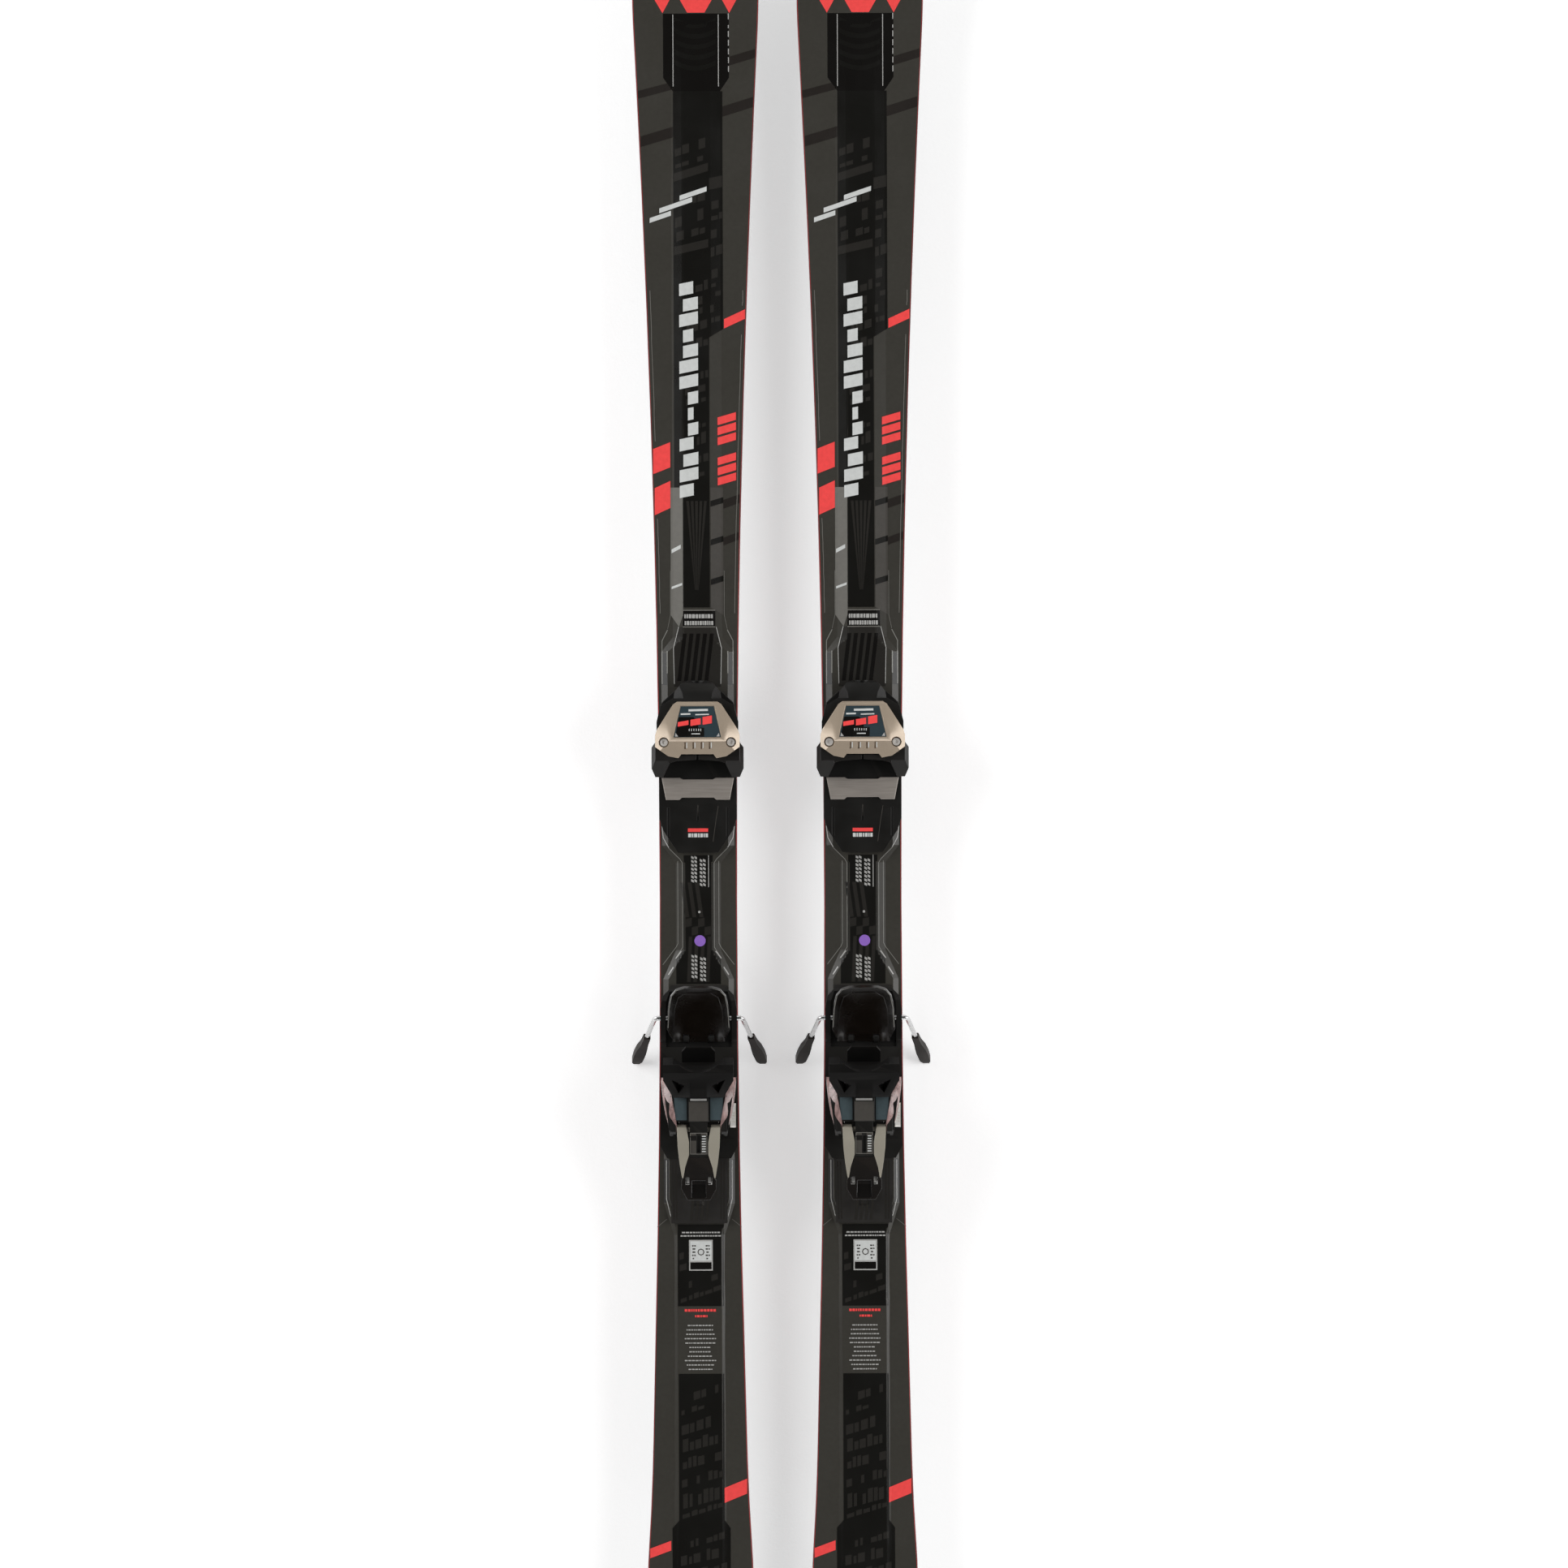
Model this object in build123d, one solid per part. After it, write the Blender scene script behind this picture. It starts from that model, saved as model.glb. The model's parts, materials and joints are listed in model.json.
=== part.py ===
"""A pair of alpine skis with step-in bindings, lying base down.

Every length is in millimetres. One ski is modelled about its own centre line, with Y along the ski
towards the tip, Z up and z = 0 at the plane that the unloaded base touches. Both skis are that one
ski: each is carried sideways by SKI_SPACING / 2 and up by LIFT, so that the deployed brakes stand
on z = 0. The bindings are at rest as a boot leaves them: heel open, brakes down.
"""

from build123d import *
import math
import os

# --- the ski -------------------------------------------------------------------------------------
LENGTH = 1770.0
SKI_SPACING = 170.0
TIP_Y = LENGTH / 2
TAIL_Y = -LENGTH / 2

WAIST_HALF = 40.0
WAIST_Y = -140.0
SHOVEL_HALF = 65.5
SHOVEL_Y = 798.0
HEEL_HALF = 54.6
HEEL_Y = -852.0
FRONT_RADIUS = 14000.0
FRONT_FLARE = 2.7
REAR_RADIUS = 17600.0

CAMBER = 3.5
FLAT_FRONT = 130.0
FLAT_REAR = -500.0
FRONT_CONTACT = 570.0
REAR_CONTACT = -770.0
SHOVEL_START = 735.0
ROCKER_RADIUS = 5000.0
SHOVEL_RADIUS = 300.0
TAIL_RADIUS = 900.0

WAIST_THICK = 10.5
TIP_THICK = 4.2
TAIL_THICK = 4.8

BASE_THICK = 1.3
EDGE_HIGH = 1.9
EDGE_WIDE = 2.2
TITANAL_THICK = 0.6
TOP_THICK = 0.9
SIDEWALL_INSET = 0.5
CORE_INSET = 3.2
TOP_INSET = 1.1
TAIL_CAP = 16.0

RIDGE_HIGH = 2.6
RIDGE_ROOT = 0.5
PLATFORM_Z = CAMBER + WAIST_THICK + RIDGE_HIGH
# Half widths of the ridge at its root and on top.
SPINE = (28, 14)
TOE_SHELF = (38.7, 31)
NECK = (25, 14)
HEEL_SHELF = (37.6, 31)
TAIL_SPINE = (27.5, 23)
# Stations of the ridge from tip to tail: y, half widths, height above the topsheet. The ends dive under it.
RIDGE = [
    (750, (24, 20), -0.3), (700, SPINE, 1.1), (610, SPINE, 1.8), (520, SPINE, 2.2), (430, SPINE, 2.4),
    (340, SPINE, 2.5), (240, SPINE, RIDGE_HIGH), (127, SPINE, RIDGE_HIGH),
    (112, TOE_SHELF, RIDGE_HIGH), (-88, TOE_SHELF, RIDGE_HIGH),
    (-106, NECK, RIDGE_HIGH), (-196, NECK, RIDGE_HIGH),
    (-226, HEEL_SHELF, RIDGE_HIGH), (-458, HEEL_SHELF, RIDGE_HIGH),
    (-490, TAIL_SPINE, 1.6), (-560, TAIL_SPINE, 1.4), (-650, TAIL_SPINE, 1.2), (-740, TAIL_SPINE, 1.0),
    (-800, TAIL_SPINE, 0.8), (-856, (26, 21), -0.3),
]

# --- tracks and screws ---------------------------------------------------------------------------
TRACK_FOOT = 26.0
TRACK_FLANGE = 29.0
TRACK_STEP = 1.8
TRACK_HIGH = 4.0
TRACK_GAP = 0.3
TRACK_SLOT_HALF = 5.0
TRACK_SLOT_DEEP = 0.8
TRACK_SLOT_END = 18.0
TOE_TRACK = (-80.0, 68.0)
HEEL_TRACK = (-478.0, -232.0)
SCREW_R = 2.4
SCREW_HEAD_R = 4.6
SCREW_HEAD_HIGH = 2.6
SCREW_DEEP = 8.5
CROSS_HALF = 2.6
CROSS_SLIT = 0.6
CROSS_DEEP = 1.4
SCREW_X = 16.0
TOE_SCREWS_Y = (-68.0, 50.0)
HEEL_SCREWS_Y = (-396.0, -300.0)

# --- toe piece: its own lengths are from TOE_Y, where the pins of the wings are 8.7 ahead ---------
TOE_Y = 9.7
BASE_BOTTOM = PLATFORM_Z + TRACK_GAP
TOE_DECK = 28.5
WING_LOW = 33.5
WING_HIGH = 56.2
PLATE_LOW = 56.5
CAP_LOW = 60.0
WING_X = 34.5
WING_Y = 8.7
WING_BOSS = 9.0
PIN_R = 3.0
PIN_FOOT = 1.0
PIN_HEAD_R = 4.0
PIN_HEAD_HIGH = 2.2
PIN_HEAD_GAP = 0.3
PIN_WELL_R = 5.2
HEXAGON_R = 2.0
RUN_GAP = 0.06
OPEN_GAP = 0.3
TOE_SPRING_Z = 45.0
TOE_SPRING = (4.5, 50.5, 9.6, 1.7, 9)
TOE_SPRING_BORE = (3.0, 51.0, 12.3)
TOE_SHANK = (10.0, 58.5, 3.6)
TOE_HEAD = (57.0, 63.5, 7.2)
CAP_SLOTS_X = (-12.6, -4.2, 4.2, 12.6)
CAP_SLOT_HALF = 0.9

# --- heel piece ----------------------------------------------------------------------------------
HEEL_PIVOT = (-370.0, 46.0)
HEEL_OPEN = 28.0
HEEL_PIN_R = 4.0
HEEL_FLOOR = 22.3
HEEL_DECK = 25.0
CORE_HALF = 20.0
EAR_IN = 20.6
EAR_OUT = 25.6
FLANK_IN = 26.2
HEEL_PIN_HALF = 28.6
HEEL_SPRING_UP = 15.0
HEEL_SPRING = (3.2, 28.6, 6.4, 1.3, 7)
HEEL_SPRING_BORE = (3.0, 29.0, 8.6)
HEEL_SHANK = (-2.0, 25.0, 3.0)
HEEL_HEAD = (-8.0, -1.4, 5.0)
CUP_CENTRE = 101.0
CUP_SHELL_R = 36.0
CUP_LIP_R = 32.0
HEEL_SLOT_Y = -371.0
TAIL_HALF = 9.0
LEVER_PIVOT = (-379.0, 71.0)
LEVER_PIN_R = 2.5
LEVER_IN = [(9.9, -392.0), (9.9, -405.0), (14.0, -418.0), (15.9, -429.0)]
TAB = (32.2, 38.0, -379.0, -354.0, 23.4, 27.6)
TAB_HINGE = (-355.5, 25.3)
TAB_PIN_R = 0.9

# --- brake ---------------------------------------------------------------------------------------
WIRE_R = 2.5
BRAKE_Y = -266.0
BRAKE_Z = 25.0
BRAKE_DOWN = 57.0
BRAKE_REACH = 84.0
CRANK = 28.0
CRANK_HALF = 23.0
CRANK_UP = 9.0
ARM_X = (45.0, 48.0, 65.0)
ARM_KNEE = 12.0
ARM_BEND = 4.0
TIP_START = 36.0
TIP_HALF = 4.2
PEDAL_HINGE = (-287.0, 30.4)
PEDAL_UP = 37.0
PEDAL_LONG = 68.0
PEDAL_PIN_R = 1.8
STAND_X = 13.0
STAND_HALF = 2.5

# --- cutting bodies that reach well past what they cut -------------------------------------------
PAST_END = 5.0
PAST_SIDE = 90.0
PAST_LOW = -10.0
PAST_HIGH = 100.0
WIDE = 50.0

TOP_ALIGN = (Align.CENTER, Align.CENTER, Align.MAX)


# --- helpers -------------------------------------------------------------------------------------
def plan(points, z0, z1):
    """A prism on a plan outline of (x, y) points, from z0 up to z1."""
    face = make_face(Polyline(*[(x, y, z0) for x, y in points], close=True))
    return extrude(face, amount=z1 - z0, dir=(0, 0, 1))


def side(points, x0, x1):
    """A prism on a side outline of (y, z) points, from x0 across to x1."""
    face = make_face(Polyline(*[(x0, y, z) for y, z in points], close=True))
    return extrude(face, amount=x1 - x0, dir=(1, 0, 0))


def front(points, y0, y1):
    """A prism on a front outline of (x, z) points, from y0 along to y1."""
    face = make_face(Polyline(*[(x, y0, z) for x, z in points], close=True))
    return extrude(face, amount=y1 - y0, dir=(0, 1, 0))


def block(x0, x1, y0, y1, z0, z1):
    return Pos((x0 + x1) / 2, (y0 + y1) / 2, (z0 + z1) / 2) * Box(x1 - x0, y1 - y0, z1 - z0)


def rod(start, end, radius):
    """A round bar between two points."""
    a, b = Vector(*start), Vector(*end)
    return extrude(Plane(origin=a, z_dir=b - a) * Circle(radius), amount=(b - a).length)


def both_sides(points):
    """The outline that a half outline of (x, y) points makes with its mirror image."""
    return list(points) + [(-x, y) for x, y in reversed(points) if x != 0]


def mirrored(shape):
    return mirror(shape, about=Plane.YZ)


def about(point, degrees):
    """A turn about the X axis through a (y, z) point; positive lifts what is in front of it."""
    y, z = point
    return Pos(0, y, z) * Rot(degrees, 0, 0) * Pos(0, -y, -z)


def turned(length, z, y=0):
    """A round bar along Y at height z: its start and end, counted from y, and its radius."""
    start, end, radius = length
    return rod((0, y + start, z), (0, y + end, z), radius)


def coil(start, end, radius, wire, turns):
    """A round-wire compression spring along Y between two points on its axis."""
    long = end[1] - start[1] - 2 * wire
    helix = Helix(pitch=long / turns, height=long, radius=radius)
    profile = Plane(origin=helix @ 0, z_dir=helix % 0) * Circle(wire)
    body = sweep(profile, path=helix)
    return Pos(start[0], start[1] + wire, start[2]) * Rot(-90, 0, 0) * body


# --- the ski's lines -----------------------------------------------------------------------------
def half_width(y):
    """Half the sidecut's width, between the widest points of shovel and tail."""
    d = abs(y - WAIST_Y)
    radius = FRONT_RADIUS + FRONT_FLARE * d if y > WAIST_Y else REAR_RADIUS
    return WAIST_HALF + d * d / (2 * radius)


def s_curve(u):
    return u * u * (3 - 2 * u)


def base_z(y):
    """Height of the base: camber between the contacts, rocker and shovel ahead, a kick behind."""
    if y > SHOVEL_START:
        slope = (SHOVEL_START - FRONT_CONTACT) / ROCKER_RADIUS
        start = (SHOVEL_START - FRONT_CONTACT) ** 2 / (2 * ROCKER_RADIUS)
        reach = math.sin(math.atan(slope)) + (y - SHOVEL_START) / SHOVEL_RADIUS
        return start + SHOVEL_RADIUS * (math.cos(math.atan(slope)) - math.sqrt(1 - reach * reach))
    if y > FRONT_CONTACT:
        return (y - FRONT_CONTACT) ** 2 / (2 * ROCKER_RADIUS)
    if y > FLAT_FRONT:
        return CAMBER * (1 - s_curve((y - FLAT_FRONT) / (FRONT_CONTACT - FLAT_FRONT)))
    if y > FLAT_REAR:
        return CAMBER
    if y > REAR_CONTACT:
        return CAMBER * (1 - s_curve((FLAT_REAR - y) / (FLAT_REAR - REAR_CONTACT)))
    return (REAR_CONTACT - y) ** 2 / (2 * TAIL_RADIUS)


def thick(y):
    """Thickness at the side of the ski, without the ridge."""
    if y > FLAT_FRONT:
        return WAIST_THICK + (TIP_THICK - WAIST_THICK) * s_curve((y - FLAT_FRONT) / (TIP_Y - FLAT_FRONT))
    if y > FLAT_REAR:
        return WAIST_THICK
    return WAIST_THICK + (TAIL_THICK - WAIST_THICK) * s_curve((FLAT_REAR - y) / (FLAT_REAR - TAIL_Y))


def surface(share, offset):
    """A height line through the ski: share 0 is the base and 1 the top, moved up by offset."""
    return lambda y: base_z(y) + share * thick(y) + offset


def stations(start, end, step):
    count = max(2, round(abs(end - start) / step))
    return [start + (end - start) * i / count for i in range(count + 1)]


def side_line(height):
    """The edges of one height line from tail to tip: a curve, the flat waist and a curve."""
    rear = stations(TAIL_Y - PAST_END, FLAT_REAR, 48)
    ahead = stations(FLAT_FRONT, SHOVEL_START, 60)[:-1] + stations(SHOVEL_START, TIP_Y + PAST_END, 25)
    points = [[(0, y, height(y)) for y in line] for line in (rear, ahead)]
    return [
        Spline(points[0]),
        Line((0, FLAT_REAR, height(FLAT_REAR)), (0, FLAT_FRONT, height(FLAT_FRONT))),
        Spline(points[1]),
    ]


def band(low, high):
    """Everything between two height lines, much wider than the ski."""
    below, above = side_line(low), side_line(high)
    ends = [Line((0, y, low(y)), (0, y, high(y))) for y in (TAIL_Y - PAST_END, TIP_Y + PAST_END)]
    face = make_face([line.edge() for line in below + above + ends])
    return extrude(face, amount=PAST_SIDE, both=True)


def outline(inset):
    """The ski's plan outline, drawn in by inset all round, as a tall prism."""
    wide, narrow = SHOVEL_HALF - inset, HEEL_HALF - inset
    tip, tail = TIP_Y - inset, TAIL_Y + inset
    cut = [(half_width(y) - inset, y) for y in stations(HEEL_Y + 60, SHOVEL_Y - 60, 150)]
    points = [(narrow, HEEL_Y), *cut, (wide, SHOVEL_Y)]
    right = [
        Bezier((0, tail), (narrow - 18, tail), (narrow, tail + 6), (narrow, HEEL_Y)),
        Spline(points, tangents=[(0.012, 1), (0, 1)]),
        Bezier((wide, SHOVEL_Y), (wide, SHOVEL_Y + 48), (wide * 0.55, tip), (0, tip)),
    ]
    left = [mirror(line, about=Plane.YZ) for line in right]
    face = make_face([line.edge() for line in right + left])
    return Pos(0, 0, PAST_LOW) * extrude(face, amount=PAST_HIGH - PAST_LOW)


# --- the ski's layers ----------------------------------------------------------------------------
def ridge():
    """The raised spine, which broadens into a platform under the toe and the heel."""
    sections = []
    for y, (root, top), high in RIDGE:
        z = base_z(y) + thick(y)
        low, up = z - RIDGE_ROOT, z + high
        corners = [(-root, y, low), (root, y, low), (top, y, up), (-top, y, up)]
        sections.append(Wire(Polyline(*corners, close=True).edges()))
    return Solid.make_loft(sections, ruled=True)


def screw_places():
    return [(x, y) for y in (*TOE_SCREWS_Y, *HEEL_SCREWS_Y) for x in (-SCREW_X, SCREW_X)]


def screw_holes():
    """The drilled holes that the track screws stand in."""
    low = PLATFORM_Z - SCREW_DEEP
    return [rod((x, y, low), (x, y, PLATFORM_Z + 1), SCREW_R) for x, y in screw_places()]


def ski_layers():
    tail_block = block(-PAST_SIDE, PAST_SIDE, TAIL_Y - PAST_END, TAIL_Y + TAIL_CAP, PAST_LOW, PAST_HIGH)
    holes = screw_holes()
    whole = outline(0)
    within_edges = outline(EDGE_WIDE)
    within_walls = outline(CORE_INSET)
    under_top = outline(TOP_INSET)
    middle = band(surface(0, EDGE_HIGH), surface(1, -TOP_THICK - TITANAL_THICK))
    lower_skin = band(surface(0, BASE_THICK), surface(0, EDGE_HIGH)) & within_edges
    upper_skin = band(surface(1, -TOP_THICK - TITANAL_THICK), surface(1, -TOP_THICK)) & under_top
    cover = (band(surface(1, -TOP_THICK), surface(1, 0)) & under_top) + ridge()
    edge_ring = band(surface(0, 0), surface(0, EDGE_HIGH)) & (whole - within_edges)
    return {
        "base_sheet": (band(surface(0, 0), surface(0, BASE_THICK)) & within_edges) - tail_block,
        "steel_edges": edge_ring - tail_block,
        "wood_core": (middle & within_walls) - tail_block - holes,
        "sidewalls": (middle & (outline(SIDEWALL_INSET) - within_walls)) - tail_block,
        "titanal_sheets": Compound([*(lower_skin - tail_block).solids(),
                                    *(upper_skin - tail_block - holes).solids()]),
        "topsheet": cover - tail_block - holes,
        "tail_protector": (band(surface(0, 0), surface(1, 0)) & whole) & tail_block,
    }


# --- tracks --------------------------------------------------------------------------------------
def tee(gap):
    """Half of the track's tee section, grown by gap: narrow foot, wide flange."""
    z = PLATFORM_Z
    return [
        (TRACK_FOOT + gap, z - gap),
        (TRACK_FOOT + gap, z + TRACK_STEP - gap),
        (TRACK_FLANGE + gap, z + TRACK_STEP - gap),
        (TRACK_FLANGE + gap, z + TRACK_HIGH + gap),
    ]


def track(span):
    """A flat tee rail with a sunk field down its middle for the length scale."""
    body = front(both_sides(tee(0)), *span)
    top = PLATFORM_Z + TRACK_HIGH
    start, end = span[0] + TRACK_SLOT_END, span[1] - TRACK_SLOT_END
    return body - block(-TRACK_SLOT_HALF, TRACK_SLOT_HALF, start, end, top - TRACK_SLOT_DEEP, top + 1)


def tracks():
    top = PLATFORM_Z + TRACK_HIGH
    made = []
    for span, rows in ((TOE_TRACK, TOE_SCREWS_Y), (HEEL_TRACK, HEEL_SCREWS_Y)):
        body = track(span)
        for x in (-SCREW_X, SCREW_X):
            for y in rows:
                body -= rod((x, y, PLATFORM_Z - 1), (x, y, top + 1), SCREW_R)
                body -= Pos(x, y, top) * Cone(SCREW_R, SCREW_HEAD_R, SCREW_HEAD_HIGH, align=TOP_ALIGN)
        made.append(body.solid())
    return Compound(made)


def track_screws():
    """Countersunk ski screws with a cross recess."""
    top = PLATFORM_Z + TRACK_HIGH
    made = []
    for x, y in screw_places():
        shank = rod((x, y, PLATFORM_Z - SCREW_DEEP), (x, y, top - SCREW_HEAD_HIGH), SCREW_R)
        head = Pos(x, y, top) * Cone(SCREW_R, SCREW_HEAD_R, SCREW_HEAD_HIGH, align=TOP_ALIGN)
        screw = shank + head
        for wide, long in ((CROSS_HALF, CROSS_SLIT), (CROSS_SLIT, CROSS_HALF)):
            screw -= block(x - wide, x + wide, y - long, y + long, top - CROSS_DEEP, top + 1)
        made.append(screw.solid())
    return Compound(made)


def channel(y0, y1):
    """The space that a carriage leaves for its track."""
    return front(both_sides(tee(TRACK_GAP)), y0, y1)


# --- toe piece -----------------------------------------------------------------------------------
CAP_PLAN = [
    (20.8, 50.6), (24.8, 47.8), (41.9, 21.2), (43.5, 16.0),
    (43.5, 4.0), (30.0, -5.5), (19.5, -7.5), (16.5, -3.5),
]


def toe_base():
    """The plate that slides on the track, with a ramp behind the boot's toe."""
    edge = [(24, 62), (37, 50), (40, 30), (40, -70), (36, -82), (21, -105)]
    profile = [(62, BASE_BOTTOM), (62, 26), (56, TOE_DECK), (-52, TOE_DECK), (-60, 27), (-105, 23.4),
               (-105, BASE_BOTTOM)]
    body = plan(both_sides(edge), BASE_BOTTOM, TOE_DECK + 2) & side(profile, -45, 45)
    body -= channel(-110, 70)
    for x in (-30.5, 30.5):
        body -= side([(-58, 29), (-58, 26.4), (-88, 24.0), (-88, 29)], x - 1.2, x + 1.2)
    body -= block(-21.5, 21.5, -42.2, -35.8, TOE_DECK - 2.4, TOE_DECK + 1)
    body -= block(-0.9, 0.9, -72, -58, 24.8, TOE_DECK + 1)
    return body


def afd_plate():
    """The anti-friction plate under the boot's toe, on a tongue that glides across the deck."""
    edge = [(37.4, -27.5), (33.0, -50.5), (19.0, -50.5), (16.5, -48.2)]
    back = [(15.5, -29.2), (18.5, -27.5)]
    outline_points = edge + [(-x, y) for x, y in reversed(edge)] + [(-18.5, -27.5), (-15.5, -29.2)] + back
    top = plan(outline_points, TOE_DECK + 0.3, TOE_DECK + 2.9)
    top = chamfer(top.faces().sort_by(Axis.Z)[-1].edges(), 0.5)
    tongue = block(-13, 13, -42, -36, TOE_DECK - 2.2, TOE_DECK + 0.3)
    return top + tongue


def toe_housing():
    """The fixed body: a deck plate, a tower round the spring and a roof over the wings."""
    deck_edge = [(24, 61.5), (37, 49), (42, 30), (42, 4), (30, -6)]
    roof_edge = [(20.5, 50.3), (24.5, 47.6), (41.5, 21.0), (43.0, 16.0), (43.0, 4.2), (29.5, -5.2),
                 (16.5, -3.3)]
    nose = [(10.5, 72.4), (16.5, 69.5), (23.5, 61), (25, 50), (25, -2)]
    hood = [(25, TOE_DECK), (25, 48), (14, CAP_LOW)]
    shoulder = [(25, 54), (38, 46), (42, 30), (42, 21)]
    slope = [(72.4, TOE_DECK), (72.4, 47), (69.5, 53.5), (60, 58.2), (50.6, CAP_LOW), (-8, CAP_LOW),
             (-8, TOE_DECK)]
    body = plan(both_sides(nose), TOE_DECK, CAP_LOW) & front(both_sides(hood), -10, 80)
    body += plan(both_sides(shoulder), TOE_DECK, CAP_LOW)
    body += plan(both_sides(deck_edge), TOE_DECK, WING_LOW - OPEN_GAP)
    body += plan(both_sides(roof_edge), PLATE_LOW, CAP_LOW)
    body &= side(slope, -50, 50)
    body &= front(both_sides([(42, TOE_DECK), (43.2, 34), (43.2, CAP_LOW)]), -10, 80)
    z = TOE_SPRING_Z
    bore_start, bore_end, bore_r = TOE_SPRING_BORE
    body -= rod((0, bore_start, z), (0, bore_end, z), bore_r)
    body -= rod((0, bore_end - 1, z), (0, TOE_HEAD[0], z), TOE_SHANK[2] + 0.4)
    body -= rod((0, TOE_HEAD[0] - 1, z), (0, 75, z), TOE_HEAD[2] + 0.6)
    for x in (-WING_X, WING_X):
        body -= rod((x, WING_Y, TOE_DECK + PIN_FOOT), (x, WING_Y, CAP_LOW + 1), PIN_R)
    return body


def toe_cap():
    """The faceted cover: a sloped hexagon with a sunk label field, finger slots and pin wells."""
    profile = [(50.6, CAP_LOW), (50.6, 61.2), (48.6, 65.0), (12.0, 69.6), (9.6, 67.8), (-2, 63.6),
               (-7.5, 61.4), (-7.5, CAP_LOW)]
    across = [(43.5, CAP_LOW), (43.5, 62.0), (28.5, 68.6), (22, 70.2)]
    cap = plan(both_sides(CAP_PLAN), CAP_LOW, 72)
    cap &= side(profile, -50, 50)
    cap &= front(both_sides(across), -12, 55)
    field = plan(both_sides([(17.8, 46.4), (25.0, 13.2)]), 60, 75)
    sunk = side([(48, 80), (48, 64.45), (12, 68.95), (12, 80)], -40, 40)
    cap -= field & sunk
    for x in CAP_SLOTS_X:
        cap -= side([(9.0, 72), (9.0, 65.8), (2.0, 63.6), (2.0, 72)], x - CAP_SLOT_HALF, x + CAP_SLOT_HALF)
    for x in (-WING_X, WING_X):
        cap -= rod((x, WING_Y, CAP_LOW + 0.4), (x, WING_Y, 72), PIN_WELL_R)
        cap -= rod((x, WING_Y, CAP_LOW - 1), (x, WING_Y, CAP_LOW + 0.5), PIN_HEAD_R + PIN_HEAD_GAP)
    return cap


def toe_wing():
    """The left release wing: a boss on the pin, an outer cheek and a lip over the boot's sole."""
    cheek = [(-43.0, 9.5), (-47.4, 3.5), (-47.4, -18.0), (-43.5, -27.0), (-35.5, -27.0), (-29.0, -13.5),
             (-27.0, -5.0), (-27.5, 2.0), (-34.5, 9.5)]
    slope = [(22, WING_LOW), (22, WING_HIGH), (-10, WING_HIGH), (-28, 46.5), (-28, WING_LOW)]
    lean = [(-47.4, 36.5), (-47.4, 51), (-43.5, WING_HIGH), (-20, WING_HIGH), (-20, WING_LOW),
            (-44.5, WING_LOW)]
    body = plan(cheek, WING_LOW, WING_HIGH) & side(slope, -60, 0)
    body &= front(lean, -30, 30)
    boss = rod((-WING_X, WING_Y, WING_LOW), (-WING_X, WING_Y, WING_HIGH), WING_BOSS)
    lip = plan([(-30, -13.0), (-22, -10.5), (-1.2, -9.0), (-1.2, -4.2), (-24, -4.2), (-29, -5.0)],
               49.5, WING_HIGH)
    body = body + boss + lip
    return body - rod((-WING_X, WING_Y, 20), (-WING_X, WING_Y, 70), PIN_R + RUN_GAP)


def toe_pins():
    """The steel pivots of the wings, each with a round head and a hexagon recess."""
    made = []
    for x in (-WING_X, WING_X):
        pin = rod((x, WING_Y, TOE_DECK + PIN_FOOT + 0.2), (x, WING_Y, CAP_LOW), PIN_R)
        pin += rod((x, WING_Y, CAP_LOW), (x, WING_Y, CAP_LOW + PIN_HEAD_HIGH), PIN_HEAD_R)
        pin -= Pos(x, WING_Y, CAP_LOW + 1.0) * extrude(RegularPolygon(HEXAGON_R, 6), amount=PIN_HEAD_HIGH)
        made.append(pin.solid())
    return Compound(made)


def toe_spring():
    start, end, radius, wire, turns = TOE_SPRING
    return coil((0, start, TOE_SPRING_Z), (0, end, TOE_SPRING_Z), radius, wire, turns)


def toe_screw():
    """The release-value screw of the toe: a slotted head on a long shank through the spring."""
    z = TOE_SPRING_Z
    slot_y = TOE_HEAD[1] - 1.7
    body = turned(TOE_SHANK, z) + turned(TOE_HEAD, z)
    return body - block(-6, 6, slot_y, TOE_HEAD[1] + 2, z - 0.9, z + 0.9)


# --- heel piece ----------------------------------------------------------------------------------
def heel_at(points):
    """Side points given from the heel's pivot, as places on the ski."""
    y, z = HEEL_PIVOT
    return [(y + a, z + b) for a, b in points]


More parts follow.
